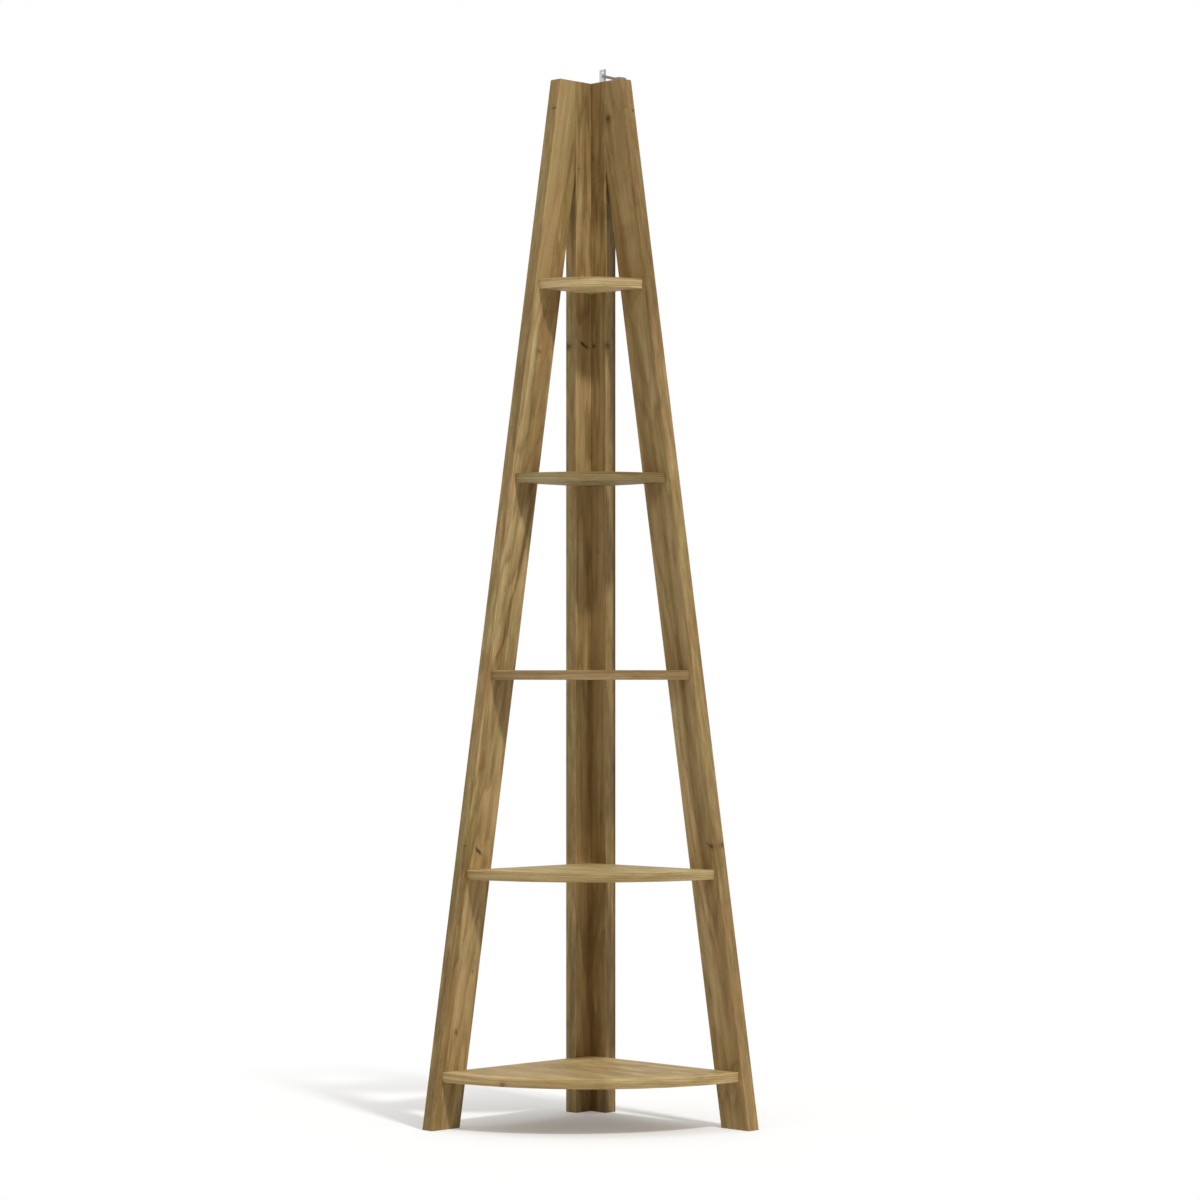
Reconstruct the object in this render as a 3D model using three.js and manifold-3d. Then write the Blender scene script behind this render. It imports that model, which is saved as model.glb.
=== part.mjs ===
/**
 * Corner ladder shelf: two leaning legs and a right-angled rear post carry five
 * quarter-round shelves, and a steel bracket on the right leg ties the top to the wall.
 *
 * Millimetres, +Z up, the front faces -Y and the room's corner is behind the post on +Y.
 * The origin is on the floor, under the middle of the outline.
 *
 * Each wall of the room has its own group, in which x runs along the wall from the post's
 * inner corner, y crosses the boards and z is up. The boards' inner faces lie in y = 0.
 */
import * as THREE from 'three';
import { mergeVertices } from 'three/addons/utils/BufferGeometryUtils.js';
import Module from 'manifold-3d';

const wasm = await Module();
wasm.setup();

// ------------------------------------------------------------------ driving dimensions

const FRAME_HEIGHT = 1760;
const BOARD_THICKNESS = 24;
const POST_INNER_WIDTH = 36;      // face of a post board, seen from inside the corner
const LEG_WIDTH = 61;             // square to the leg's length
const FOOT_REACH = 367;           // leg's front edge from the inner corner, on the floor
const TOP_REACH = 73;             // the same at the top end
const CONTACT_GAP = 0.3;          // left between wooden pieces that are pressed together

const SHELF_COUNT = 5;
const SHELF_THICKNESS = 16;
const SHELF_PITCH = 330;
const BOTTOM_SHELF_TOP = 95;
const SHELF_SETBACK = 8;          // shelf's end behind the leg's front edge
const SHELF_ARC_STEPS = 30;

const SCREW_SHANK_DIAMETER = 6.3;
const SCREW_HEAD_DIAMETER = 10;
const SCREW_HEAD_RIM = 1.2;
const SCREW_POINT = 4;            // length of the tapered point
const SCREW_SOCKET = 4;           // across the flats of the hexagon socket
const SCREW_SOCKET_DEPTH = 3;
const SCREW_SUNK = 0.6;           // head below the board's outer face
const LEG_SCREW_LENGTH = 50;
const POST_SCREW_LENGTH = 40;
const CORNER_SCREW_LENGTH = 50;

const DOWEL_DIAMETER = 8;
const DOWEL_CHAMFER = 1;
const LEG_DOWEL_LENGTH = 30;
const LEG_DOWEL_IN_LEG = 12;
const TOP_DOWEL_LENGTH = 40;
const TOP_DOWEL_COUNT = 2;

const PEG_SPACING = 26;           // leg screw to leg dowel, along the shelf's end
const LEFT_POST_SCREW_ALONG = 12; // the two post screws of a shelf cross inside it, so each
const RIGHT_POST_SCREW_ALONG = 25; // stands at its own distance from the corner
const POCKET_CLEARANCE = 0.3;     // round and beyond everything that sits in the wood

const ANCHOR_ALONG = 56;          // pivot screw from the inner corner
const ANCHOR_ARM_THICKNESS = 5;   // foot and arm
const ANCHOR_ARM_WIDTH = 8;
const ANCHOR_ARM_RISE = 12;       // foot's edge to the leaf's middle
const ANCHOR_FOOT_DIAMETER = 10;
const ANCHOR_LEAF_THICKNESS = 2;
const ANCHOR_LEAF_ALONG = 5.5;    // middle of the wall leaf from the inner corner
const ANCHOR_LEAF_WIDTH = 14;
const ANCHOR_LEAF_BOTTOM = 3;     // above the foot's underside
const ANCHOR_LEAF_HEIGHT = 23;
const ANCHOR_LEAF_HOLE = 4;
const ANCHOR_LEAF_HOLE_DROP = 5;  // hole's middle below the leaf's top

const ANCHOR_SCREW_SHANK = 4;
const ANCHOR_SCREW_HEAD = 7;
const ANCHOR_SCREW_RIM = 0.5;
const ANCHOR_SCREW_SUNK = 0.3;    // head below the foot's top
const ANCHOR_SCREW_LENGTH = 32;
const ANCHOR_SCREW_SLOT = 1;
const ANCHOR_SCREW_SLOT_DEPTH = 1.1;

const ROUND_SIDES = 12;           // sides of every screw, dowel and bore

// ------------------------------------------------------------------ derived dimensions

const LEAN = (FOOT_REACH - TOP_REACH) / FRAME_HEIGHT;
const LEG_LEVEL_WIDTH = LEG_WIDTH * Math.hypot(1, LEAN);
const LEG_BUTT_ALONG = POST_INNER_WIDTH + CONTACT_GAP;
const LEG_BUTT_HEIGHT = (FOOT_REACH - LEG_LEVEL_WIDTH - LEG_BUTT_ALONG) / LEAN;
const TOP_DOWEL_STEP = (FRAME_HEIGHT - LEG_BUTT_HEIGHT) / (TOP_DOWEL_COUNT + 1);
const BORE_WIDENING = 1 / Math.cos(Math.PI / ROUND_SIDES);
const OVERSHOOT = 5;              // cutting tools reach this far past the faces they open

/** Leg's front edge from the inner corner, at a height. */
const legFrontAt = (height) => FOOT_REACH - LEAN * height;

const shelfTops = Array.from({ length: SHELF_COUNT },
  (_, index) => BOTTOM_SHELF_TOP + index * SHELF_PITCH);

const shelfMiddle = (top) => top - SHELF_THICKNESS / 2;
const shelfRadius = (top) => legFrontAt(shelfMiddle(top)) - SHELF_SETBACK;

/** Half way up each space between two shelves, and last between the top joint's foot and its first dowel. */
const cornerScrewHeights = [
  ...shelfTops.slice(0, -1).map((top) => shelfMiddle(top) + SHELF_PITCH / 2),
  LEG_BUTT_HEIGHT + TOP_DOWEL_STEP / 2,
];

const WALLS = {
  left: { name: 'left', turn: -0.75 * Math.PI, outward: -1 },
  right: { name: 'right', turn: -0.25 * Math.PI, outward: 1 },
};

const BACK_CORNER = BOARD_THICKNESS * Math.SQRT2;
const FRONT_REACH = Math.max(shelfRadius(shelfTops[0]), FOOT_REACH / Math.SQRT2);
const INNER_CORNER_Y = (FRONT_REACH - BACK_CORNER) / 2;

// ------------------------------------------------------------------ finishes

const oak = new THREE.MeshStandardMaterial({ color: 0x9c8053, roughness: 0.62, metalness: 0 });
const shelfOak = new THREE.MeshStandardMaterial({ color: 0xab9062, roughness: 0.6, metalness: 0 });
const beech = new THREE.MeshStandardMaterial({ color: 0xcdb084, roughness: 0.7, metalness: 0 });
const zinc = new THREE.MeshStandardMaterial({ color: 0xb8b9bb, roughness: 0.35, metalness: 0.9 });
const anchorSteel = new THREE.MeshStandardMaterial({ color: 0xb3b2b0, roughness: 0.42, metalness: 0.85 });

// ------------------------------------------------------------------ solids

/** A closed geometry as a manifold solid. */
function toSolid(geometry) {
  const bare = geometry.clone();
  bare.deleteAttribute('normal');
  bare.deleteAttribute('uv');
  const merged = mergeVertices(bare, 1e-4);
  return new wasm.Manifold(new wasm.Mesh({
    numProp: 3,
    vertProperties: new Float32Array(merged.attributes.position.array),
    triVerts: new Uint32Array(merged.index.array),
  }));
}

/** A manifold solid as a three.js geometry. */
function toGeometry(solid) {
  const { vertProperties, triVerts } = solid.getMesh();
  const geometry = new THREE.BufferGeometry();
  geometry.setAttribute('position', new THREE.BufferAttribute(new Float32Array(vertProperties), 3));
  geometry.setIndex(new THREE.BufferAttribute(new Uint32Array(triVerts), 1));
  geometry.computeVertexNormals();
  return geometry;
}

const cut = (geometry, ...tools) => toGeometry(
  tools.reduce((solid, tool) => solid.subtract(toSolid(tool)), toSolid(geometry)));

const join = (...geometries) => toGeometry(
  geometries.map(toSolid).reduce((whole, solid) => whole.add(solid)));

/** A turned solid about y, from [radius, y] points that run up the outside from axis to axis. */
function turned(points) {
  return new THREE.LatheGeometry(points.map(([radius, y]) => new THREE.Vector2(radius, y)), ROUND_SIDES);
}

function shapeOf(points) {
  return new THREE.Shape(points.map(([x, y]) => new THREE.Vector2(x, y)));
}

/** A flat plate: an outline in x and z, given its thickness along y, centred on y = 0. */
function uprightPlate(points, thickness) {
  const geometry = new THREE.ExtrudeGeometry(shapeOf(points), { depth: thickness, bevelEnabled: false });
  return geometry.rotateX(Math.PI / 2).translate(0, thickness / 2, 0);
}

function box(width, depth, height, x, y, z) {
  return new THREE.BoxGeometry(width, depth, height).translate(x, y, z);
}

function namedMesh(name, geometry, material) {
  const mesh = new THREE.Mesh(geometry, material);
  mesh.name = name;
  return mesh;
}

// ------------------------------------------------------------------ fasteners

/** Countersunk socket screw along -y, its head's top in y = 0. */
function socketScrew(length) {
  const shank = SCREW_SHANK_DIAMETER / 2;
  const head = SCREW_HEAD_DIAMETER / 2;
  const body = turned([
    [0, -length], [shank / 3, -length], [shank, SCREW_POINT - length],
    [shank, -SCREW_HEAD_RIM - (head - shank)], [head, -SCREW_HEAD_RIM], [head, 0], [0, 0],
  ]);
  const socketRadius = SCREW_SOCKET / Math.sqrt(3);
  const socket = new THREE.CylinderGeometry(socketRadius, socketRadius, 2 * SCREW_SOCKET_DEPTH, 6);
  return cut(body, socket);
}

/** The pocket that a socket screw needs, open at the head's end. */
function socketScrewPocket(length) {
  const shank = SCREW_SHANK_DIAMETER / 2 * BORE_WIDENING + POCKET_CLEARANCE;
  const head = SCREW_HEAD_DIAMETER / 2 * BORE_WIDENING + POCKET_CLEARANCE;
  const seat = -SCREW_HEAD_RIM - POCKET_CLEARANCE;
  return turned([
    [0, -length - POCKET_CLEARANCE], [shank, -length - POCKET_CLEARANCE],
    [shank, seat - (head - shank)], [head, seat], [head, OVERSHOOT], [0, OVERSHOOT],
  ]);
}

/** Dowel along -y from y = 0, with chamfered ends. */
function dowel(length) {
  const radius = DOWEL_DIAMETER / 2;
  const tip = radius - DOWEL_CHAMFER;
  return turned([
    [0, -length], [tip, -length], [radius, DOWEL_CHAMFER - length],
    [radius, -DOWEL_CHAMFER], [tip, 0], [0, 0],
  ]);
}

function dowelPocket(length) {
  const radius = DOWEL_DIAMETER / 2 * BORE_WIDENING + POCKET_CLEARANCE;
  const end = -length - POCKET_CLEARANCE;
  return turned([[0, end], [radius, end], [radius, POCKET_CLEARANCE], [0, POCKET_CLEARANCE]]);
}

/** Countersunk cross-slot screw along -y, its head's top in y = 0. */
function anchorScrew() {
  const shank = ANCHOR_SCREW_SHANK / 2;
  const head = ANCHOR_SCREW_HEAD / 2;
  const body = turned([
    [0, -ANCHOR_SCREW_LENGTH], [shank / 4, -ANCHOR_SCREW_LENGTH],
    [shank, 2 * shank - ANCHOR_SCREW_LENGTH], [shank, -ANCHOR_SCREW_RIM - (head - shank)],
    [head, -ANCHOR_SCREW_RIM], [head, 0], [0, 0],
  ]);
  const slotLength = head;
  const slotDepth = 2 * ANCHOR_SCREW_SLOT_DEPTH;
  return cut(body,
    box(slotLength, slotDepth, ANCHOR_SCREW_SLOT, 0, 0, 0),
    box(ANCHOR_SCREW_SLOT, slotDepth, slotLength, 0, 0, 0));
}

/** The pocket that the anchor's screw needs in the foot and in the wood, open at the head's end. */
function anchorScrewPocket() {
  const shank = ANCHOR_SCREW_SHANK / 2 * BORE_WIDENING + POCKET_CLEARANCE;
  const head = ANCHOR_SCREW_HEAD / 2 * BORE_WIDENING + POCKET_CLEARANCE;
  const end = -ANCHOR_SCREW_LENGTH - POCKET_CLEARANCE;
  const seat = -ANCHOR_SCREW_RIM - POCKET_CLEARANCE;
  return turned([
    [0, end], [shank, end], [shank, seat - (head - shank)], [head, seat], [head, OVERSHOOT],
    [0, OVERSHOOT],
  ]);
}

/** A fastener and the pocket that the wood gives it. */
function fastener(name, geometry, pocket, material) {
  const mesh = namedMesh(name, geometry, material);
  mesh.userData.pocket = pocket;
  return mesh;
}

/** A socket screw driven square through a wall's boards from outside. */
function throughScrew(name, wall, length, along, height) {
  const screw = fastener(name, socketScrew(length), socketScrewPocket(length), zinc);
  screw.position.set(along, wall.outward * (BOARD_THICKNESS - SCREW_SUNK), height);
  screw.rotation.x = wall.outward > 0 ? 0 : Math.PI;
  return screw;
}

/** Screws and dowel that hold one shelf to one side frame. */
function shelfFasteners(wall, top, number) {
  const height = shelfMiddle(top);
  const shared = (shelfRadius(top) + legFrontAt(height) - LEG_LEVEL_WIDTH) / 2;
  const screwAlong = shared - PEG_SPACING / 2;
  const postAlong = wall === WALLS.left ? LEFT_POST_SCREW_ALONG : RIGHT_POST_SCREW_ALONG;
  const peg = fastener(`leg_dowel_${wall.name}_${number}`,
    dowel(LEG_DOWEL_LENGTH), dowelPocket(LEG_DOWEL_LENGTH), beech);
  peg.position.set(shared + PEG_SPACING / 2, wall.outward * LEG_DOWEL_IN_LEG, height);
  peg.rotation.x = wall.outward > 0 ? 0 : Math.PI;
  return [
    throughScrew(`leg_screw_${wall.name}_${number}`, wall, LEG_SCREW_LENGTH, screwAlong, height),
    throughScrew(`post_screw_${wall.name}_${number}`, wall, POST_SCREW_LENGTH, postAlong, height),
    peg,
  ];
}

/** Dowels in the edge joint between a leg's top and its post board. */
function topDowels(wall) {
  return Array.from({ length: TOP_DOWEL_COUNT }, (_, index) => {
    const peg = fastener(`top_dowel_${wall.name}_${index + 1}`,
      dowel(TOP_DOWEL_LENGTH), dowelPocket(TOP_DOWEL_LENGTH), beech);
    const height = LEG_BUTT_HEIGHT + TOP_DOWEL_STEP * (index + 1);
    peg.position.set(POST_INNER_WIDTH - TOP_DOWEL_LENGTH / 2, wall.outward * BOARD_THICKNESS / 2, height);
    peg.rotation.z = Math.PI / 2;
    return peg;
  });
}

/** Screws through the left post board into the right one's back edge. */
function cornerScrews() {
  return cornerScrewHeights.map((height, index) => throughScrew(`corner_screw_${index + 1}`,
    WALLS.left, CORNER_SCREW_LENGTH, -BOARD_THICKNESS / 2, height));
}

// ------------------------------------------------------------------ wooden pieces

/** Board of a side frame: an outline in x and z, between the wall's inner and outer planes. */
function board(name, wall, points) {
  const geometry = uprightPlate(points, BOARD_THICKNESS);
  geometry.translate(0, wall.outward * BOARD_THICKNESS / 2, 0);
  return namedMesh(name, geometry, oak);
}

/** Leaning leg with a level foot, a level top end and an upright butt against the post. */
function leg(wall) {
  return board(`leg_${wall.name}`, wall, [
    [FOOT_REACH - LEG_LEVEL_WIDTH, 0], [FOOT_REACH, 0], [TOP_REACH, FRAME_HEIGHT],
    [LEG_BUTT_ALONG, FRAME_HEIGHT], [LEG_BUTT_ALONG, LEG_BUTT_HEIGHT],
  ]);
}

/** Upright board of the rear post. The left one covers the right one's back edge. */
function postBoard(wall) {
  const back = wall === WALLS.left ? -BOARD_THICKNESS : CONTACT_GAP;
  return board(`post_board_${wall.name}`, wall, [
    [back, 0], [POST_INNER_WIDTH, 0], [POST_INNER_WIDTH, FRAME_HEIGHT], [back, FRAME_HEIGHT],
  ]);
}

/** Quarter-round shelf, its square corner in the post's V. */
function shelf(top, number) {
  const radius = shelfRadius(top);
  const sweep = Math.asin(CONTACT_GAP / radius);
  const start = -0.75 * Math.PI + sweep;
  const end = -0.25 * Math.PI - sweep;
  const outline = new THREE.Shape();
  outline.moveTo(0, -CONTACT_GAP * Math.SQRT2);
  outline.lineTo(radius * Math.cos(start), radius * Math.sin(start));
  outline.absarc(0, 0, radius, start, end, false);
  const geometry = new THREE.ExtrudeGeometry(outline,
    { depth: SHELF_THICKNESS, bevelEnabled: false, curveSegments: SHELF_ARC_STEPS });
  geometry.translate(0, 0, top - SHELF_THICKNESS);
  return namedMesh(`shelf_${number}`, geometry, shelfOak);
}

/** Cuts every fastener's pocket out of a wooden piece. Both are already in place. */
function drill(piece, fasteners) {
  const toPiece = piece.matrixWorld.clone().invert();
  const tools = fasteners.map((mesh) => mesh.userData.pocket.clone()
    .applyMatrix4(toPiece.clone().multiply(mesh.matrixWorld)));
  piece.geometry = cut(piece.geometry, ...tools);
}

// ------------------------------------------------------------------ wall anchor

/**
 * Steel bracket about its pivot: x along the wall, y out through it, z up from the leg's end.
 * A flat foot, a narrow arm that climbs to the leaf's middle, and an upright leaf. The back
 * edges of foot and arm and the back face of the leaf all lie in the wall's plane.
 */
function wallAnchor() {
  const wallPlane = BOARD_THICKNESS / 2;
  const thickness = ANCHOR_ARM_THICKNESS;
  const footRadius = ANCHOR_FOOT_DIAMETER / 2;
  const leafMiddle = ANCHOR_LEAF_ALONG - ANCHOR_ALONG;
  const holeHeight = ANCHOR_LEAF_BOTTOM + ANCHOR_LEAF_HEIGHT - ANCHOR_LEAF_HOLE_DROP;

  const roundFoot = new THREE.CylinderGeometry(footRadius, footRadius, thickness, 2 * ROUND_SIDES)
    .rotateX(Math.PI / 2).translate(0, 0, thickness / 2);
  const backFoot = box(ANCHOR_FOOT_DIAMETER, wallPlane, thickness, 0, wallPlane / 2, thickness / 2);
  const arm = uprightPlate([
    [0, 0], [0, thickness], [-footRadius, thickness], [leafMiddle, ANCHOR_ARM_RISE + thickness],
    [leafMiddle, ANCHOR_ARM_RISE], [-footRadius, 0],
  ], ANCHOR_ARM_WIDTH).translate(0, wallPlane - ANCHOR_ARM_WIDTH / 2, 0);
  const leaf = box(ANCHOR_LEAF_WIDTH, ANCHOR_LEAF_THICKNESS, ANCHOR_LEAF_HEIGHT,
    leafMiddle, wallPlane - ANCHOR_LEAF_THICKNESS / 2, ANCHOR_LEAF_BOTTOM + ANCHOR_LEAF_HEIGHT / 2);

  const pivotPocket = anchorScrewPocket().rotateX(Math.PI / 2).translate(0, 0, thickness - ANCHOR_SCREW_SUNK);
  const leafHole = new THREE.CylinderGeometry(
    ANCHOR_LEAF_HOLE / 2, ANCHOR_LEAF_HOLE / 2, 4 * ANCHOR_LEAF_THICKNESS, ROUND_SIDES)
    .translate(leafMiddle, wallPlane, holeHeight);

  const mesh = namedMesh('wall_anchor',
    cut(join(roundFoot, backFoot, arm, leaf), pivotPocket, leafHole), anchorSteel);
  mesh.position.set(ANCHOR_ALONG, BOARD_THICKNESS / 2, FRAME_HEIGHT + CONTACT_GAP);
  return mesh;
}

function wallAnchorScrew() {
  const screw = fastener('wall_anchor_screw', anchorScrew(), anchorScrewPocket(), zinc);
  const headTop = FRAME_HEIGHT + CONTACT_GAP + ANCHOR_ARM_THICKNESS - ANCHOR_SCREW_SUNK;
  screw.position.set(ANCHOR_ALONG, BOARD_THICKNESS / 2, headTop);
  screw.rotation.x = Math.PI / 2;
  return screw;
}

// ------------------------------------------------------------------ assembly

function wallGroup(wall, ...members) {
  const group = new THREE.Group();
  group.rotation.z = wall.turn;
  return group.add(...members.flat());
}

const boards = {
  left: [postBoard(WALLS.left), leg(WALLS.left)],
  right: [postBoard(WALLS.right), leg(WALLS.right)],
};
const shelves = shelfTops.map((top, index) => shelf(top, index + 1));
const fasteners = {
  left: [
    ...shelfTops.flatMap((top, index) => shelfFasteners(WALLS.left, top, index + 1)),
    ...topDowels(WALLS.left), ...cornerScrews(),
  ],
  right: [
    ...shelfTops.flatMap((top, index) => shelfFasteners(WALLS.right, top, index + 1)),
    ...topDowels(WALLS.right), wallAnchorScrew(),
  ],
};

const cornerShelf = new THREE.Group();
cornerShelf.position.y = INNER_CORNER_Y;
cornerShelf.add(
  wallGroup(WALLS.left, boards.left, fasteners.left),
  wallGroup(WALLS.right, boards.right, fasteners.right, wallAnchor()),
  ...shelves,
);

const group = new THREE.Group().add(cornerShelf);
group.updateMatrixWorld(true);
for (const piece of [...boards.left, ...boards.right, ...shelves]) {
  drill(piece, [...fasteners.left, ...fasteners.right]);
}

export default group;
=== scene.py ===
"""Finishes, fine parts and studio of a corner ladder shelf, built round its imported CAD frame.

Metres, +Z up. The open front faces -Y and the corner of the room lies behind the rear post on +Y.
The boards and shelves are softened copies of their CAD nodes, so they keep every size. Screws,
dowels and the wall anchor are modelled by hand in the places of their CAD nodes.
"""

import logging
import math
from collections.abc import Callable, Iterator
from contextlib import contextmanager
from dataclasses import dataclass, field
from enum import Enum

import bmesh
import bpy
from bpy.types import ID, Material, Node, NodeTree, Object
from bpy.types import NodeSocket as Socket
from mathutils import Matrix, Vector

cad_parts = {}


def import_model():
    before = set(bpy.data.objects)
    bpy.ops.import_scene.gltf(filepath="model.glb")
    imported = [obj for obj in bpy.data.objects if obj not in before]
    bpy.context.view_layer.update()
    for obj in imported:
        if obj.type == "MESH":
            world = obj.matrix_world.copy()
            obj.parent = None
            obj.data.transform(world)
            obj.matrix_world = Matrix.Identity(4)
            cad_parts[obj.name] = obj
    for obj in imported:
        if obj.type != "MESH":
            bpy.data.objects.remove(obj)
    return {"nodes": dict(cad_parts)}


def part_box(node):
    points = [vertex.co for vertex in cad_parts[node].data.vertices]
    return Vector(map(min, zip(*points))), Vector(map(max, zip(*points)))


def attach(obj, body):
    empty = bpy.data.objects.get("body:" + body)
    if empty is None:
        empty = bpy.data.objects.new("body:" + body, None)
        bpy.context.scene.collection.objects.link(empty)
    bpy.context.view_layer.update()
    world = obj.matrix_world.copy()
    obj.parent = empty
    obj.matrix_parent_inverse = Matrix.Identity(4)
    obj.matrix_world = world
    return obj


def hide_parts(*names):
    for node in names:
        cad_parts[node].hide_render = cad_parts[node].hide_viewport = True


MM = 0.001
HALF_SQRT = math.sqrt(0.5)

# Along the right-hand wall from the corner, out through that wall, and up.
FORWARD = Vector((HALF_SQRT, -HALF_SQRT, 0.0))
OUTWARD = Vector((HALF_SQRT, HALF_SQRT, 0.0))
UP = Vector((0.0, 0.0, 1.0))

# Copies of CAD nodes: gap between corners that are one, angle between faces that are one, longest
# edge that belongs to a bore, and angle from which an edge is sharp.
MERGE_WITHIN = 0.001 * MM
FLAT_WITHIN = math.radians(0.2)
BORE_EDGE = 5 * MM
SHARP_EDGE = math.radians(25)

# Modelling: least cosine of a face's angle to the way that it is said to face, and slack of a place.
FACING = 0.9
EDIT_SLACK = 0.1 * MM

log = logging.getLogger("corner_shelf")

Number = Socket | float
Range = tuple[float, float]
Floats = tuple[float, float, float]
Colour = Floats
Triple = Socket | Floats | Vector

WHITE: Colour = (1.0, 1.0, 1.0)


class Side(Enum):
    """A side frame, as seen from the front."""

    LEFT = "left"
    RIGHT = "right"


class Drive(Enum):
    """The recess in a screw's head."""

    HEXAGON = "hexagon"
    CROSS = "cross"


class MarkKind(Enum):
    """What a mark in the grain is. Shade and bloom marks also serve as painted shade and painted light."""

    KNOT = "knot"
    CRACK = "crack"
    SHADE = "shade"
    BLOOM = "bloom"
    RUSSET = "russet"
    CALM = "calm"


KNOT, CRACK, SHADE, BLOOM, RUSSET, CALM = MarkKind


# ---------------------------------------------------------------------------- node graphs


@dataclass(frozen=True)
class Streaks:
    """Noise drawn out along the fibres.

    Cells are counted per metre along, across and through the piece. Swing is how far the noise
    moves what it is added to, from one extreme to the other.
    """

    cells: Floats
    octaves: float = 2.0
    swing: float = 1.0


@dataclass(frozen=True)
class Relief:
    """Depth of a surface's fine relief, and how strongly it shows."""

    depth: float
    strength: float


class Graph:
    """Node tree of a material or a world, with a short call for each node the finishes use."""

    def __init__(self, tree: NodeTree) -> None:
        """Starts an empty graph in a tree, whose own nodes are removed."""
        self.tree = tree
        tree.nodes.clear()

    def add(self, kind: str, inputs: dict[str | int, object] | None = None,
            **settings: object) -> Node:
        """Adds a node.

        Args:
            kind: Type of the node, without its ShaderNode prefix.
            inputs: Value or socket for each input, by name or number.
            **settings: Properties of the node.

        Returns:
            The new node.
        """
        node = self.tree.nodes.new(f"ShaderNode{kind}")
        for name, value in settings.items():
            setattr(node, name, value)
        for name, value in (inputs or {}).items():
            self.feed(node.inputs[name], value)
        return node

    def feed(self, socket: Socket, value: object) -> None:
        """Links a socket to an input, or sets the input's own value.

        Args:
            socket: The input.
            value: A socket, or a value of the input's kind.
        """
        if isinstance(value, Socket):
            self.tree.links.new(value, socket)
        else:
            socket.default_value = value

    def math(self, operation: str, first: Number, second: Number = 0.0, third: Number = 0.0) -> Socket:
        """Result of a Math node."""
        inputs = {0: first, 1: second, 2: third}
        return self.add("Math", inputs, operation=operation).outputs[0]

    def times(self, first: Number, second: Number) -> Socket:
        """Product of two numbers."""
        return self.math("MULTIPLY", first, second)

    def minus(self, first: Number, second: Number) -> Socket:
        """Difference of two numbers."""
        return self.math("SUBTRACT", first, second)

    def mul_add(self, first: Number, second: Number, third: Number) -> Socket:
        """Product of two numbers, plus a third."""
        return self.math("MULTIPLY_ADD", first, second, third)

    def vector(self, operation: str, first: Triple, second: Triple = (0.0, 0.0, 0.0)) -> Socket:
        """Vector result of a Vector Math node."""
        return self.add("VectorMath", {0: first, 1: second}, operation=operation).outputs["Vector"]

    def length(self, vector: Triple) -> Socket:
        """Length of a vector."""
        return self.add("VectorMath", {0: vector}, operation="LENGTH").outputs["Value"]

    def dot(self, first: Triple, second: Triple) -> Socket:
        """Dot product of two vectors."""
        return self.add("VectorMath", {0: first, 1: second}, operation="DOT_PRODUCT").outputs["Value"]

    def split(self, vector: Socket) -> tuple[Socket, Socket, Socket]:
        """The x, y and z of a vector."""
        x, y, z = self.add("SeparateXYZ", {0: vector}).outputs
        return x, y, z

    def joined(self, x: Number = 0.0, y: Number = 0.0, z: Number = 0.0) -> Socket:
        """A vector from its x, y and z."""
        return self.add("CombineXYZ", {0: x, 1: y, 2: z}).outputs[0]

    def ease(self, value: Number, none: float, full: float) -> Socket:
        """Smooth step of a value: 0 at none and 1 at full, which may lie below it."""
        inputs = {"Value": value, "From Min": none, "From Max": full}
        return self.add("MapRange", inputs, interpolation_type="SMOOTHSTEP").outputs["Result"]

    def noise(self, vector: Socket, streaks: Streaks, output: str = "Fac") -> Socket:
        """Noise at some coordinates in metres.

        Args:
            vector: The coordinates.
            streaks: Cells and octaves of the noise.
            output: "Fac" for a factor about 0.5, or "Color" for a colour.

        Returns:
            The factor or the colour.
        """
        place = self.vector("MULTIPLY", vector, streaks.cells)
        noise = self.add("TexNoise", {"Vector": place, "Scale": 1.0, "Detail": streaks.octaves})
        return noise.outputs[output]

    def swing(self, noise: Socket, amount: float, base: Number = 0.0) -> Socket:
        """A noise factor turned into a swing about a base, of half the amount to either side."""
        centred = self.minus(noise, 0.5)
        return self.mul_add(centred, amount, base)

    def waves(self, vector: Socket, streaks: Streaks, base: Number = 0.0) -> Socket:
        """Noise at some coordinates in metres, as its own swing about a base."""
        return self.swing(self.noise(vector, streaks), streaks.swing, base)

    def blend(self, factor: Number, first: object, second: object, mode: str = "MIX") -> Socket:
        """Mixes two colours in a blend mode. The factor is the share of the second one."""
        inputs = {"Factor": factor, 6: first, 7: second}
        return self.add("Mix", inputs, data_type="RGBA", blend_type=mode).outputs[2]

    def mixed(self, factor: Number, first: Triple, second: Triple) -> Socket:
        """Mixes two vectors. The factor is the share of the second one."""
        return self.add("Mix", {"Factor": factor, 4: first, 5: second}, data_type="VECTOR").outputs[1]

    def scaled(self, colour: Socket, factor: Number) -> Socket:
        """A colour made lighter or darker."""
        return self.add("VectorMath", {0: colour, "Scale": factor}, operation="SCALE").outputs["Vector"]

    def show(self, colour: Socket, roughness: Number, height: Socket, relief: Relief,
             **others: float) -> None:
        """Shows a surface.

        Args:
            colour: Its colour.
            roughness: Its roughness.
            height: Height of its fine relief, from 0 to 1.
            relief: How deep that relief is.
            **others: Other inputs of the Principled node.
        """
        bump = self.add("Bump", {"Height": height, "Distance": relief.depth, "Strength": relief.strength})
        surface = self.add("BsdfPrincipled", {
            "Base Color": colour, "Roughness": roughness, "Normal": bump.outputs[0], **others})
        self.add("OutputMaterial", {"Surface": surface.outputs[0]})


def rgba(colour: Colour) -> tuple[float, float, float, float]:
    """An opaque colour for a colour input."""
    return (*colour, 1.0)


def new_material(name: str) -> tuple[Material, Graph]:
    """A named material and its empty graph.

    Args:
        name: Name of the material.

    Returns:
        The material, and the graph that its nodes go into.
    """
    material = bpy.data.materials.new(name)
    material.use_nodes = True
    return material, Graph(material.node_tree)


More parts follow.
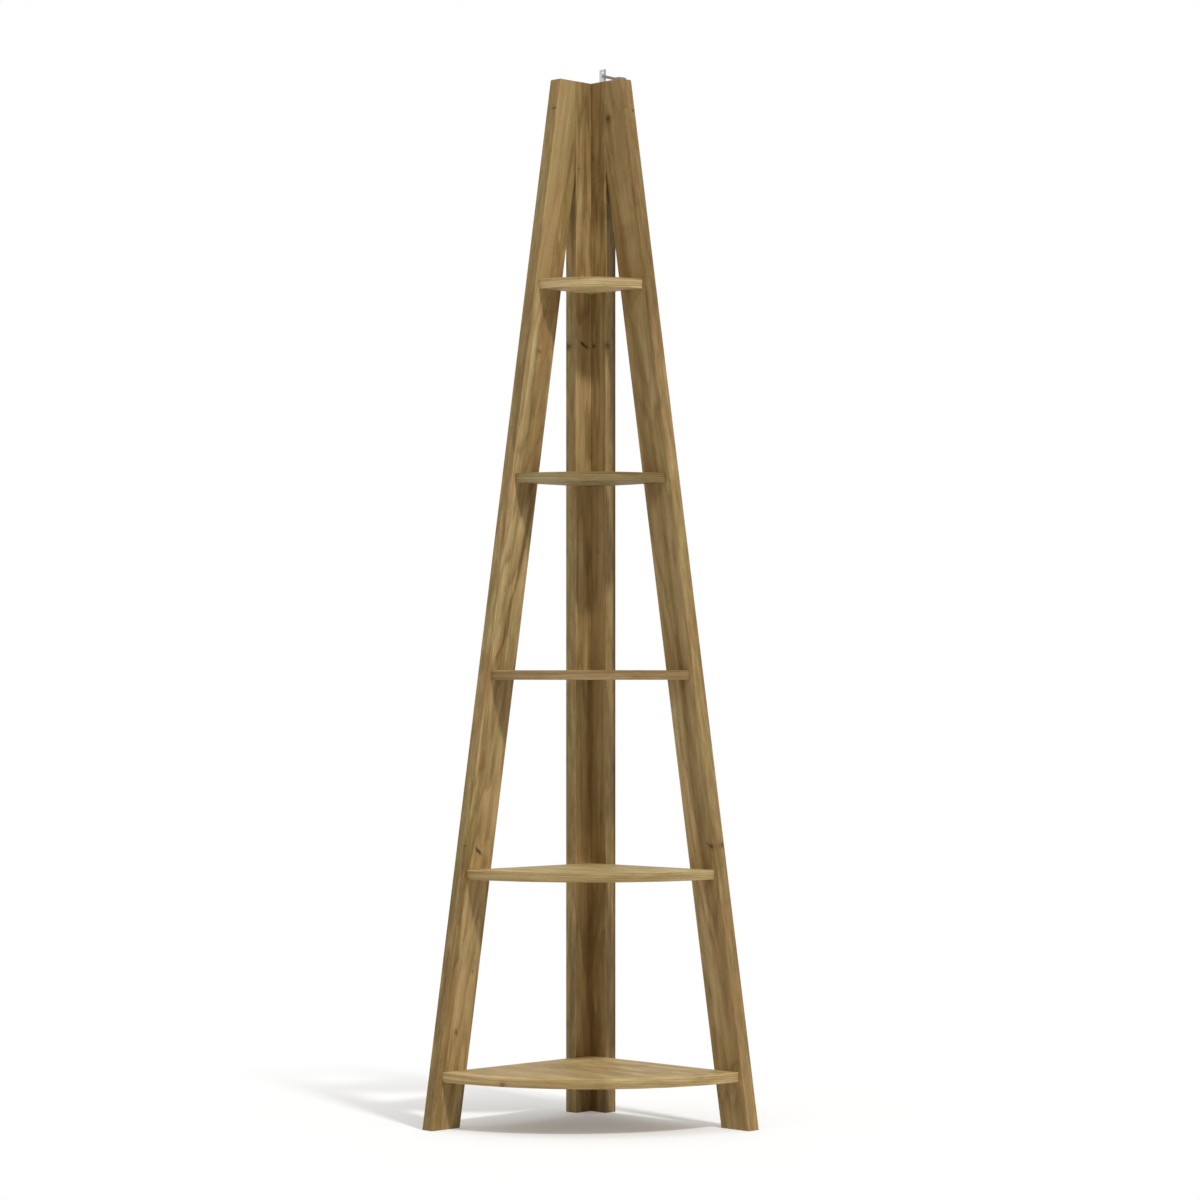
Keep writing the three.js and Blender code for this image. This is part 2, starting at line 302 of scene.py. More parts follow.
# ---------------------------------------------------------------------------- wood


@dataclass(frozen=True)
class Plank:
    """How a wooden piece lies in its log.

    In the plank's own coordinates x runs along the grain from the foot end, y across the face
    towards the front and z through the thickness towards the wall, all from the middle. The
    plank of the left side is the mirror image of the one that its vectors give.
    """

    foot: Vector
    along: Vector
    across: Vector
    half_width: float
    half_depth: float
    mirrored: bool = False
    sawn_range: Range = (0.55, 0.95)

    def coordinates(self, graph: Graph) -> Socket:
        """Turns a piece's Object coordinates into the plank's own.

        Args:
            graph: Graph of the piece's material.

        Returns:
            The plank's coordinates, in metres.
        """
        turn = Matrix((self.along, self.across, self.along.cross(self.across)))
        return graph.add("Mapping", {
            "Vector": graph.add("TexCoord").outputs["Object"],
            "Location": -(turn @ self.foot),
            "Rotation": turn.to_euler(),
            "Scale": (-1.0 if self.mirrored else 1.0, 1.0, 1.0),
        }).outputs[0]

    def end_grain(self, graph: Graph) -> Socket:
        """How squarely the surface cuts the fibres.

        Args:
            graph: The graph that the nodes go into.

        Returns:
            0 along the fibres and 1 on a sawn end.
        """
        fibres = Vector((-self.along.x if self.mirrored else self.along.x, self.along.y, self.along.z))
        cut = graph.dot(graph.add("TexCoord").outputs["Normal"], fibres)
        return graph.ease(graph.math("ABSOLUTE", cut), *self.sawn_range)

    def levelled(self, graph: Graph, place: Socket, flow: Socket) -> Socket:
        """Coordinates of the fibres as they show on the surface. Those of a straight plank stay."""
        return flow

    def inset(self, graph: Graph, place: Socket) -> Socket:
        """How far a point, in the plank's coordinates, lies inside the long edges."""
        across = graph.split(place)[1]
        return graph.minus(self.half_width, graph.math("ABSOLUTE", across))


@dataclass(frozen=True)
class RoundPlank(Plank):
    """A plank whose front edge is an arc round its foot, with its half width as the radius.

    On that edge the fibres' coordinates are stretched, so that the streaks run along the arc.
    """

    edge_stretch: Floats = (0.30, 0.12, 1.0)
    edge_range: Range = (1.3 * MM, 0.6 * MM)

    def levelled(self, graph: Graph, place: Socket, flow: Socket) -> Socket:
        """Coordinates of the fibres, drawn out along the arc where it cuts through them."""
        on_edge = graph.ease(self.inset(graph, place), *self.edge_range)
        return graph.mixed(on_edge, flow, graph.vector("MULTIPLY", flow, self.edge_stretch))

    def inset(self, graph: Graph, place: Socket) -> Socket:
        """How far a point, in the plank's coordinates, lies inside the arc."""
        x, y, _ = graph.split(place)
        return graph.minus(self.half_width, graph.length(graph.joined(x, y)))


@dataclass(frozen=True)
class Mark:
    """A knot, crack or patch in the grain, or a patch of painted light or shade, in millimetres of its
    plank's coordinates.

    Its length lies along the grain, its width across the face and its thickness through it,
    each to either side of its middle. Turn is in degrees on the face.
    """

    kind: MarkKind
    along: float
    across: float
    length: float
    width: float
    strength: float = 1.0
    turn: float = 0.0
    depth: float = 0.0
    thickness: float = 40.0


@dataclass(frozen=True)
class Vein:
    """A long dark, pale or calm band that winds along the grain, in millimetres of its plank's coordinates.

    The route gives the middle of the band, as points along and across the face. The width lies
    to either side of it.
    """

    kind: MarkKind
    route: tuple[tuple[float, float], ...]
    width: float
    strength: float = 1.0


@dataclass(frozen=True)
class Timber:
    """The piece of a trunk that a plank is sawn from: where the pith runs, and what grew in it. Some timbers
    also carry marks that are painted light and shade.

    Fineness says how many times finer than usual its bands are along, across and through the plank.
    """

    pith_across: float
    pith_depth: float
    pith_tilt: float
    seed: Floats
    marks: tuple[Mark, ...] = ()
    veins: tuple[Vein, ...] = ()
    tint: Colour = WHITE
    edge_tint: Colour = WHITE
    end_tone: float = 0.62
    fineness: Floats = (1.0, 1.0, 1.0)


@dataclass(frozen=True)
class Layer:
    """A colour that a mark lays over the wood.

    Its reach is the distance from the mark's middle, in units of the mark's size, where it starts
    to show, and the one where it has its full share. Rings are the waves in it, per unit.
    """

    colour: Colour
    reach: Range
    share: float = 1.0
    mode: str = "MIX"
    rings: float = 0.0
    ring_swing: float = 0.25


RUSSET_BROWN: Colour = (0.400, 0.215, 0.082)
STAIN_BROWN: Colour = (0.160, 0.085, 0.022)
KNOT_BROWN: Colour = (0.080, 0.034, 0.003)
PATCH_REACH: Range = (1.3, 0.2)

LAYERS: dict[MarkKind, tuple[Layer, ...]] = {
    KNOT: (Layer(RUSSET_BROWN, (2.6, 0.9), 0.45, "MULTIPLY"),
           Layer(KNOT_BROWN, (1.15, 0.55), 0.85, rings=16.0)),
    CRACK: (Layer(STAIN_BROWN, (1.25, 0.30), 0.75), Layer(KNOT_BROWN, (0.78, 0.40), 0.85)),
    RUSSET: (Layer(RUSSET_BROWN, PATCH_REACH),),
}

# How much a patch or vein of full strength changes the tone, or a calm one the streaks.
TONE_CHANGES: dict[MarkKind, float] = {BLOOM: 0.34, SHADE: -0.46, CALM: -1.0}


def mark_group(softening: float = 0.8) -> NodeTree:
    """Node group that measures a mark in the grain.

    Args:
        softening: Keeps the push small near the mark's middle.

    Returns:
        A group from the plank's coordinates to the distance from the mark's middle, in units of
        its own size, and the push that makes the fibres run round it.
    """
    found = bpy.data.node_groups.get("grain_mark")
    if found:
        return found
    group = bpy.data.node_groups.new("grain_mark", "ShaderNodeTree")
    for name in ("Vector", "Centre", "Size"):
        group.interface.new_socket(name=name, in_out="INPUT", socket_type="NodeSocketVector")
    group.interface.new_socket(name="Turn", in_out="INPUT", socket_type="NodeSocketFloat")
    for name in ("Distance", "Push"):
        group.interface.new_socket(name=name, in_out="OUTPUT", socket_type="NodeSocketFloat")
    graph = Graph(group)
    given = graph.tree.nodes.new("NodeGroupInput").outputs
    result = graph.tree.nodes.new("NodeGroupOutput").inputs
    from_centre = graph.vector("SUBTRACT", given["Vector"], given["Centre"])
    turned = graph.add(
        "VectorRotate", {"Vector": from_centre, "Angle": given["Turn"]}, rotation_type="Z_AXIS").outputs[0]
    distance = graph.length(graph.vector("DIVIDE", turned, given["Size"]))
    graph.feed(result["Distance"], distance)
    softened = graph.mul_add(distance, distance, softening)
    graph.feed(result["Push"], graph.math("DIVIDE", graph.split(turned)[1], softened))
    return group


@dataclass(frozen=True)
class OakFinish:
    """Oiled rustic oak: growth rings, streaks, fibres, open pores, knots and fine cracks.

    Each range of two numbers runs from where something starts to show to where it is full.
    """

    pale: Colour = (0.505, 0.345, 0.146)
    deep: Colour = (0.285, 0.180, 0.060)
    russet: Colour = RUSSET_BROWN
    olive: Colour = (0.90, 1.02, 0.86)
    tone_shift: Floats = (0.82, 1.0, 1.50)
    depth_base: float = 0.35
    ring_depth: float = 0.40
    russet_range: Range = (0.52, 0.76)
    russet_share: float = 0.42
    olive_range: Range = (0.48, 0.26)
    olive_share: float = 0.8

    drift: Streaks = Streaks((3.0, 11.0, 11.0))
    drift_reach: Floats = (0.0, 12 * MM, 16 * MM)
    streak: Streaks = Streaks((1.7, 70.0, 70.0), 3.0, 2.3)
    band: Streaks = Streaks((14.0, 90.0, 90.0), 3.0, 2.1)
    patch: Streaks = Streaks((2.4, 18.0, 18.0), 2.0, 1.5)
    hue: Streaks = Streaks((10.0, 50.0, 50.0), 3.0)
    thread: Streaks = Streaks((7.0, 420.0, 420.0), 3.0, 0.60)
    thread_base: float = 1.02
    mottle: Streaks = Streaks((26.0, 150.0, 150.0), 3.0, 1.1)
    blur: Streaks = Streaks((60.0, 190.0, 190.0))
    mark_blur: float = 0.9
    vein_blur: float = 1.1
    waver: Streaks = Streaks((16.0, 60.0, 60.0), 2.0, 2.2)

    pore: Streaks = Streaks((150.0, 2400.0, 2400.0), 1.0)
    pore_range: Range = (0.57, 0.68)
    pore_late: float = 0.25
    pore_shade: float = 0.45
    ring_width: float = 3.4 * MM
    ring_waver: Streaks = Streaks((1.2, 26.0, 26.0), 2.0, 3.4)
    early_range: Range = (0.55, 0.04)
    late_range: Range = (0.90, 1.0)

    vein_range: Range = (1.30, 0.40)
    vein_fade: float = 0.14

    edge_range: Range = (1.2 * MM, 0.3 * MM)
    rub_width: float = 3 * MM
    rub_tone: float = 0.30
    roughness: float = 0.60
    thread_roughness: float = 0.20
    pore_roughness: float = 0.15
    thread_height: float = 0.6
    ring_height: float = -0.3
    relief: Relief = Relief(0.25 * MM, 0.7)
    ior: float = 1.46

    def material(self, name: str, plank: Plank, timber: Timber) -> Material:
        """Makes the material of one wooden piece.

        Args:
            name: Name of the material.
            plank: How the piece lies in its log.
            timber: Which part of the trunk it is.

        Returns:
            The material.
        """
        material = new_material(name)[0]
        OakGraph(material.node_tree, self, plank, timber).paint()
        return material


class OakGraph(Graph):
    """Nodes of one wooden piece, from its plank's coordinates to its colour and relief."""

    def __init__(self, tree: NodeTree, finish: OakFinish, plank: Plank, timber: Timber) -> None:
        """Lays the coordinates and the noise that the other nodes share.

        Args:
            tree: Node tree of the piece's material.
            finish: Colours and streaks of the wood.
            plank: How the piece lies in its log.
            timber: Which part of the trunk it is.
        """
        super().__init__(tree)
        self.finish = finish
        self.plank = plank
        self.timber = timber
        self.place = plank.coordinates(self)
        self.seeded = self.vector("ADD", plank.levelled(self, self.place, self.place), timber.seed)
        self.blur = self.noise(self.seeded, finish.blur)
        self.waver = self.noise(self.seeded, finish.waver)
        self.marks = [(mark, self.measured(mark)) for mark in timber.marks]
        self.flow = self.fibres()
        self.fibre = self.vector("ADD", self.flow, timber.seed)
        self.rings = self.grown()

    def measured(self, mark: Mark) -> Node:
        """Measures every point of the wood against a mark.

        Args:
            mark: The mark.

        Returns:
            Group node with the distance to the mark and the push that it gives the fibres.
        """
        group = self.add("Group", node_tree=mark_group())
        self.feed(group.inputs["Vector"], self.place)
        self.feed(group.inputs["Centre"], [n * MM for n in (mark.along, mark.across, mark.depth)])
        self.feed(group.inputs["Size"], [n * MM for n in (mark.length, mark.width, mark.thickness)])
        self.feed(group.inputs["Turn"], math.radians(mark.turn))
        return group

    def fibres(self) -> Socket:
        """Coordinates that drift with the fibres and run round the knots.

        Returns:
            The coordinates, in metres.
        """
        push: Number = 0.0
        for mark, group in self.marks:
            if mark.kind is KNOT:
                push = self.math("ADD", push, group.outputs["Push"])
        drift = self.vector("SUBTRACT", self.noise(self.seeded, self.finish.drift, "Color"), (0.5, 0.5, 0.5))
        flow = self.vector("ADD", self.place, self.vector("MULTIPLY", drift, self.finish.drift_reach))
        flow = self.vector("SUBTRACT", flow, self.joined(y=push))
        return self.plank.levelled(self, self.place, flow)

    def grown(self) -> Socket:
        """Growth rings round the pith.

        Returns:
            Share of coarse early wood, from 0 to 1.
        """
        x, y, z = self.split(self.flow)
        leaning = self.mul_add(x, -self.timber.pith_tilt, z)
        from_pith = self.joined(
            0.0, self.minus(y, self.timber.pith_across), self.minus(leaning, self.timber.pith_depth))
        years = self.math("DIVIDE", self.length(from_pith), self.finish.ring_width)
        year = self.math("FRACT", self.waves(self.fibre, self.finish.ring_waver, years))
        early = self.ease(year, *self.finish.early_range)
        return self.math("MAXIMUM", early, self.ease(year, *self.finish.late_range))

    def paint(self) -> None:
        """Lays the wood's colour, gloss and relief, and shows them."""
        finish = self.finish
        thread = self.noise(self.fibre, finish.thread)
        pore = self.ease(self.noise(self.fibre, finish.pore), *finish.pore_range)
        in_early_wood = self.mul_add(self.rings, 1.0 - finish.pore_late, finish.pore_late)
        pore = self.times(pore, in_early_wood)
        ragged = [(mark, self.swing(self.blur, finish.mark_blur, group.outputs["Distance"]))
                  for mark, group in self.marks]

        tone = self.swing(thread, finish.thread.swing, finish.thread_base)
        tone = self.mul_add(pore, -finish.pore_shade, tone)
        liveliness: Number = 1.0
        for vein in self.timber.veins:
            if vein.kind is CALM:
                liveliness = self.times(liveliness, self.banded(vein))
            else:
                tone = self.times(tone, self.banded(vein))
        for mark, distance in ragged:
            if mark.kind in TONE_CHANGES:
                veil = self.veil(distance, PATCH_REACH, mark.strength)
                factor = self.mul_add(veil, TONE_CHANGES[mark.kind], 1.0)
                tone = self.times(tone, factor)
        colour = self.toned(self.clear_wood(liveliness), tone)
        for mark, distance in ragged:
            colour = self.marked(colour, mark, distance)

        height = self.mul_add(pore, -1.0, self.times(thread, finish.thread_height))
        height = self.mul_add(self.rings, finish.ring_height, height)
        rough = self.mul_add(pore, finish.pore_roughness, finish.roughness)
        rough = self.swing(thread, finish.thread_roughness, rough)
        self.show(self.edged(colour), rough, height, finish.relief, IOR=finish.ior)

    def clear_wood(self, liveliness: Number) -> Socket:
        """Colour of clear wood: streaks, bands and patches between the pale and the deep tone.

        Args:
            liveliness: How far the streaks swing, 1 as usual and 0 for plain wood.

        Returns:
            The colour.
        """
        finish, fineness = self.finish, self.timber.fineness
        fine = self.vector("MULTIPLY", self.fibre, fineness)
        depth = self.times(self.rings, finish.ring_depth)
        for streaks in (finish.streak, finish.band, finish.patch):
            depth = self.waves(fine, streaks, depth)
        depth = self.mul_add(depth, liveliness, finish.depth_base)
        pale, deep, russet = (rgba(tuple(c * t for c, t in zip(tone, self.timber.tint)))
                              for tone in (finish.pale, finish.deep, finish.russet))
        colour = self.blend(depth, pale, deep)
        hue = self.noise(self.vector("MULTIPLY", self.seeded, fineness), finish.hue)
        colour = self.blend(self.veil(hue, finish.russet_range, finish.russet_share), colour, russet)
        olive_veil = self.veil(hue, finish.olive_range, finish.olive_share)
        return self.blend(olive_veil, colour, rgba(finish.olive), "MULTIPLY")

    def toned(self, colour: Socket, tone: Socket) -> Socket:
        """A colour whose green is changed by a tone's factor, its red less and its blue more."""
        factors = self.joined(*(self.math("POWER", tone, shift) for shift in self.finish.tone_shift))
        return self.vector("MULTIPLY", colour, factors)

    def banded(self, vein: Vein) -> Socket:
        """Factor of the tone, or of the streaks' liveliness, for one vein.

        Args:
            vein: The vein.

        Returns:
            The factor, 1 away from the vein.
        """
        x, y, _ = self.split(self.place)
        foot, top = vein.route[0][0], vein.route[-1][0]
        low = min(across for _, across in vein.route) - 1.0
        high = max(across for _, across in vein.route) + 1.0
        shares = [((along - foot) / (top - foot), (across - low) / (high - low))
                  for along, across in vein.route]
        share = self.math("DIVIDE", self.minus(x, foot * MM), (top - foot) * MM)
        curve = self.add("FloatCurve", {"Value": share})
        line = curve.mapping.curves[0]
        for point in shares[1:-1]:
            line.points.new(*point)
        line.points[0].location = shares[0]
        line.points[-1].location = shares[-1]
        curve.mapping.update()
        middle = self.mul_add(curve.outputs[0], (high - low) * MM, low * MM)
        distance = self.math("ABSOLUTE", self.minus(y, middle))
        ragged = self.swing(self.blur, self.finish.vein_blur, self.math("DIVIDE", distance, vein.width * MM))
        ragged = self.swing(self.waver, self.finish.waver.swing, ragged)
        fade = self.finish.vein_fade
        ends = self.times(self.ease(share, 0.0, fade), self.ease(share, 1.0, 1.0 - fade))
        veil = self.times(self.ease(ragged, *self.finish.vein_range), ends)
        return self.mul_add(veil, TONE_CHANGES[vein.kind] * vein.strength, 1.0)

    def veil(self, distance: Socket, reach: Range, strength: float) -> Socket:
        """How much something covers: nothing where its reach starts, and its strength where it is full."""
        return self.times(self.ease(distance, *reach), strength)

    def marked(self, colour: Socket, mark: Mark, distance: Socket) -> Socket:
        """Lays one knot, crack or russet patch over the wood's colour. Other marks change nothing.

        Args:
            colour: The colour so far.
            mark: The mark.
            distance: Distance from its middle in units of its size, uneven along its outline.

        Returns:
            The colour with the mark.
        """
        for layer in LAYERS.get(mark.kind, ()):
            veil = self.veil(distance, layer.reach, layer.share * mark.strength)
            if layer.rings:
                wave = self.math("SINE", self.times(distance, layer.rings))
                veil = self.times(veil, self.swing(wave, layer.ring_swing, 1.0))
            colour = self.blend(veil, colour, rgba(layer.colour), layer.mode)
        return colour

    def edged(self, colour: Socket) -> Socket:
        """Gives long edges their own tint and mottling, rubs the corners pale and darkens sawn ends.

        Args:
            colour: The colour so far.

        Returns:
            The finished colour.
        """
        finish, plank = self.finish, self.plank
        inset = plank.inset(self, self.place)
        mottle = self.waves(self.fibre, finish.mottle, 1.0)
        tinted = self.toned(self.vector("MULTIPLY", colour, self.timber.edge_tint), mottle)
        colour = self.blend(self.ease(inset, *finish.edge_range), colour, tinted)
        through = self.math("ABSOLUTE", self.split(self.place)[2])
        near_edge = self.ease(inset, finish.rub_width, 0.0)
        near_face = self.ease(through, plank.half_depth - finish.rub_width, plank.half_depth)
        rubbed = self.times(self.times(near_edge, near_face), self.blur)
        tone = self.mul_add(rubbed, finish.rub_tone, 1.0)
        sawn = self.mul_add(plank.end_grain(self), self.timber.end_tone - 1.0, 1.0)
        return self.scaled(colour, self.times(tone, sawn))


# ---------------------------------------------------------------------------- metal and beech


@dataclass(frozen=True)
class MetalFinish:
    """Plated steel with faint brushing and stains. As it stands, bright zinc."""

    name: str
    colour: Colour = (0.62, 0.62, 0.64)
    roughness: float = 0.34
    brushing: Streaks = Streaks((900.0, 900.0, 900.0), 3.0, 0.30)
    stain: Streaks = Streaks((160.0, 160.0, 160.0), 3.0)
    stain_range: Range = (0.35, 0.75)
    stain_tone: float = 0.78
    relief: Relief = Relief(0.04 * MM, 0.4)

    def material(self) -> Material:
        """Makes the material.

        Returns:
            The material.
        """
        material, graph = new_material(self.name)
        place = graph.add("TexCoord").outputs["Object"]
        brushed = graph.noise(place, self.brushing)
        stained = graph.ease(graph.noise(place, self.stain), *self.stain_range)
        dull = tuple(self.stain_tone * channel for channel in self.colour)
        colour = self.tinted(graph, graph.blend(stained, rgba(self.colour), rgba(dull)))
        roughness = graph.swing(brushed, self.brushing.swing, self.roughness)
        graph.show(colour, roughness, brushed, self.relief, Metallic=1.0)
        return material

    def tinted(self, graph: Graph, colour: Socket) -> Socket:
        """The metal's colour as it differs from place to place. Plain metal keeps one colour."""
        return colour


@dataclass(frozen=True)
class BracketFinish(MetalFinish):
    """Duller plated steel, with painted shade that darkens the arm and the foot from some way along the
    bracket.
    """

    colour: Colour = (0.66, 0.65, 0.65)
    roughness: float = 0.42
    brushing: Streaks = Streaks((500.0, 500.0, 1400.0), 3.0, 0.30)
    # Tone and tint of the painted shade on the arm and the foot.
    arm_shade: float = 0.38
    arm_shade_tint: Colour = (1.06, 0.99, 0.95)
    arm_start: float = -42 * MM
    arm_fade: float = 6 * MM
    pivot: Vector = field(default_factory=Vector)

    def tinted(self, graph: Graph, colour: Socket) -> Socket:
        """Paints shade on the arm and the foot by darkening them.

        Args:
            graph: Graph of the material.
            colour: The plate's colour.

        Returns:
            The colour of the whole bracket.
        """
        place = graph.vector("SUBTRACT", graph.add("TexCoord").outputs["Object"], self.pivot)
        on_arm = graph.ease(graph.dot(place, FORWARD), self.arm_start - self.arm_fade, self.arm_start)
        # Colour of the painted shade.
        dark = tuple(self.arm_shade * channel for channel in self.arm_shade_tint)
        return graph.blend(on_arm, colour, rgba(dark), "MULTIPLY")


@dataclass(frozen=True)
class BeechFinish:
    """Bare turned beech with short flecks."""

    name: str = "beech_dowel"
    pale: Colour = (0.640, 0.465, 0.270)
    dark: Colour = (0.430, 0.280, 0.140)
    fleck: Streaks = Streaks((700.0, 700.0, 900.0))
    fleck_range: Range = (0.56, 0.72)
    cloud: Streaks = Streaks((60.0, 60.0, 60.0), swing=0.3)
    roughness: float = 0.7
    fleck_roughness: float = 0.2
    relief: Relief = Relief(0.1 * MM, 0.4)
    ior: float = 1.46

    def material(self) -> Material:
        """Makes the material.

        Returns:
            The material.
        """
        material, graph = new_material(self.name)
        place = graph.add("TexCoord").outputs["Object"]
        fleck = graph.noise(place, self.fleck)
        flecked = graph.blend(graph.ease(fleck, *self.fleck_range), rgba(self.pale), rgba(self.dark))
        clouded = graph.scaled(flecked, graph.waves(place, self.cloud, 1.0))
        roughness = graph.swing(fleck, self.fleck_roughness, self.roughness)
        graph.show(clouded, roughness, fleck, self.relief, IOR=self.ior)
        return material


# ---------------------------------------------------------------------------- modelling by hand


class Element(Enum):
    """What can be picked in edit mode."""

    EDGE = "EDGE"
    FACE = "FACE"


def choose(piece: Object) -> None:
    """Selects one piece alone and makes it the active one.

    Args:
        piece: The piece that is selected.
    """
    bpy.ops.object.select_all(action="DESELECT")
    piece.select_set(True)
    bpy.context.view_layer.objects.active = piece


def settle(piece: Object) -> None:
    """Moves a piece's place, turn and scale into its mesh."""
    choose(piece)
    bpy.ops.object.transform_apply(location=True, rotation=True, scale=True)


def start(primitive: Callable[..., set[str]], **settings: object) -> Object:
    """Starts a piece from a mesh primitive.

    Args:
        primitive: The operator that adds it.
        **settings: Settings of the operator.

    Returns:
        The piece, whose place, turn and scale are in its mesh.
    """
    bpy.ops.object.select_all(action="DESELECT")
    primitive(**settings)
    piece = bpy.context.active_object
    settle(piece)
    return piece


def cylinder(sides: int, radius: float, depth: float, middle: float = 0.0) -> Object:
    """Starts a piece as an upright cylinder, with its middle at some height."""
    return start(bpy.ops.mesh.primitive_cylinder_add, vertices=sides, radius=radius, depth=depth,
                 location=(0, 0, middle))


def add_object(name: str, data: ID) -> Object:
    """Adds a new object with some data to the scene.

    Args:
        name: Name of the object.
        data: Its mesh, lamp or camera.

    Returns:
        The object.
    """
    added = bpy.data.objects.new(name, data)
    bpy.context.scene.collection.objects.link(added)
    return added


@contextmanager
def editing(piece: Object) -> Iterator[None]:
    """Edit mode on one piece, with all of it selected.

    Args:
        piece: The piece that is edited.

    Yields:
        Nothing: the piece is in edit mode until the block ends.
    """
    choose(piece)
    bpy.ops.object.mode_set(mode="EDIT")
    bpy.ops.mesh.select_mode(type="VERT")
    bpy.ops.mesh.select_all(action="SELECT")
    yield
    bpy.ops.object.mode_set(mode="OBJECT")


def pick(piece: Object, element: Element, wanted: Callable[[object], bool]) -> None:
    """Selects, in edit mode, the edges or faces that pass a test.

    Args:
        piece: The piece in edit mode.
        element: What is picked.
        wanted: Test of one edge or face.
    """
    bpy.ops.mesh.select_mode(type=element.value)
    bpy.ops.mesh.select_all(action="DESELECT")
    shape = bmesh.from_edit_mesh(piece.data)
    for found in shape.faces if element is Element.FACE else shape.edges:
        found.select_set(wanted(found))
    bmesh.update_edit_mesh(piece.data)


def pick_facing(piece: Object, direction: Vector) -> None:
    """Selects, in edit mode, the faces that face a direction."""
    pick(piece, Element.FACE, lambda face: face.normal.dot(direction) > FACING)


def extrude(step: Floats, share: float = 1.0) -> None:
    """Extrudes the picked faces by a step, and makes their new end narrower by a share.

    Args:
        step: The move of the new end.
        share: Width of the new end, as a share of the old one.
    """
    bpy.ops.mesh.extrude_region_move(TRANSFORM_OT_translate={"value": step})
    if share != 1.0:
        bpy.ops.transform.resize(value=(share, share, 1.0))


def turn_faces_out() -> None:
    """Turns, in edit mode, all faces of the piece outward."""
    bpy.ops.mesh.select_all(action="SELECT")
    bpy.ops.mesh.normals_make_consistent(inside=False)


def finish_with(piece: Object, kind: str, **settings: object) -> None:
    """Adds a modifier to a piece and applies it.

    Args:
        piece: The piece.
        kind: Type of the modifier.
        **settings: Properties of the modifier.
    """
    choose(piece)
    modifier = piece.modifiers.new(kind.lower(), kind)
    for name, value in settings.items():
        setattr(modifier, name, value)
    bpy.ops.object.modifier_apply(modifier=modifier.name)


def combine(piece: Object, other: Object, operation: str) -> None:
    """Adds another piece to a piece by UNION, or cuts it out by DIFFERENCE, and removes the other."""
    finish_with(piece, "BOOLEAN", object=other, operation=operation, solver="EXACT")
    bpy.data.objects.remove(other)


def round_edges(piece: Object, radius: float, degrees: float) -> None:
    """Rounds the edges of a modelled piece that are sharper than an angle."""
    finish_with(piece, "BEVEL", width=radius, segments=2, limit_method="ANGLE",
                angle_limit=math.radians(degrees))


def smooth(piece: Object, degrees: float) -> None:
    """Shades a piece smooth, except across edges sharper than an angle."""
    choose(piece)
    bpy.ops.object.shade_smooth_by_angle(angle=math.radians(degrees))


def placed_copy(model: Object, name: str, place: Matrix) -> Object:
    """Copies a model to its place, with a mesh of its own.

    Args:
        model: The model, at the origin.
        name: Name of the copy.
        place: Where it goes, as the model's own axes in the row frame.

    Returns:
        The copy, whose place is in its mesh.
    """
    copy = add_object(name, model.data.copy())
    copy.matrix_world = place
    settle(copy)
    return copy


def placed_model(model: Object, name: str, place: Matrix) -> Object:
    """Moves a model that is used once to its place, as a new piece.

    Args:
        model: The model, which is removed.
        name: Name of the piece.
        place: Its place and turn.

    Returns:
        The piece.
    """
    piece = placed_copy(model, name, place)
    bpy.data.objects.remove(model)
    return piece


def side_sign(node: str) -> int:
    """Sign of x on a CAD node's side: 1 on the right and -1 on the left."""
    return 1 if Side.RIGHT.value in node else -1


def level_place(origin: Vector, x_sign: int, y_sign: int) -> Matrix:
    """A place whose +Z lies level, at 45 degrees between the axes with these signs."""
    axis = Vector((x_sign * HALF_SQRT, y_sign * HALF_SQRT, 0.0))
    return Matrix.Translation(origin) @ axis.to_track_quat("Z", "Y").to_matrix().to_4x4()


def merged_copy(node: Object, name: str) -> Object:
    """Copies a CAD node into a new piece whose flat faces are whole again.

    Args:
        node: The CAD node.
        name: Name of the piece.

    Returns:
        The piece, with its loose triangles merged.
    """
    piece = add_object(name, node.data.copy())
    choose(piece)
    bpy.ops.mesh.customdata_custom_splitnormals_clear()
    with editing(piece):
        bpy.ops.mesh.remove_doubles(threshold=MERGE_WITHIN)
        bpy.ops.mesh.dissolve_limited(angle_limit=FLAT_WITHIN)
    return piece


def soften_edges(piece: Object, radius: float) -> None:
    """Rounds the long sharp edges of a merged copy and shades it. Those of bores stay sharp.

    Args:
        piece: The piece.
        radius: Radius of the rounding.
    """
    with editing(piece):
        pick(piece, Element.EDGE, lambda edge: len(edge.link_faces) == 2
             and edge.calc_length() > BORE_EDGE and edge.calc_face_angle() > SHARP_EDGE)
        bpy.ops.mesh.bevel(offset=radius, segments=3, profile=0.5, affect="EDGES", clamp_overlap=True)
    smooth(piece, degrees=40)
    finish_with(piece, "WEIGHTED_NORMAL", keep_sharp=True)


def dress(piece: Object, material: Material, body: str, node: str) -> None:
    """Gives a piece its finish, hides the CAD node that it stands for and hangs the piece on its CAD body.

    Args:
        piece: The finished piece, in place.
        material: Its material.
        body: The CAD body that it rides on.
        node: The CAD node that it stands for.
    """
    piece.data.materials.clear()
    piece.data.materials.append(material)
    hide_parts(node)
    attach(piece, body)
    log.info("%s: %d faces, stands for %s", piece.name, len(piece.data.polygons), node)


def oak_piece(node: Object, radius: float, material: Material) -> None:
    """Makes and dresses an oak piece from its CAD node.

    Args:
        node: The CAD node.
        radius: Radius of its softened edges.
        material: Its material.
    """
    piece = merged_copy(node, f"{node.name}_oak")
    soften_edges(piece, radius)
    dress(piece, material, "frame", node.name)


# ---------------------------------------------------------------------------- side frames


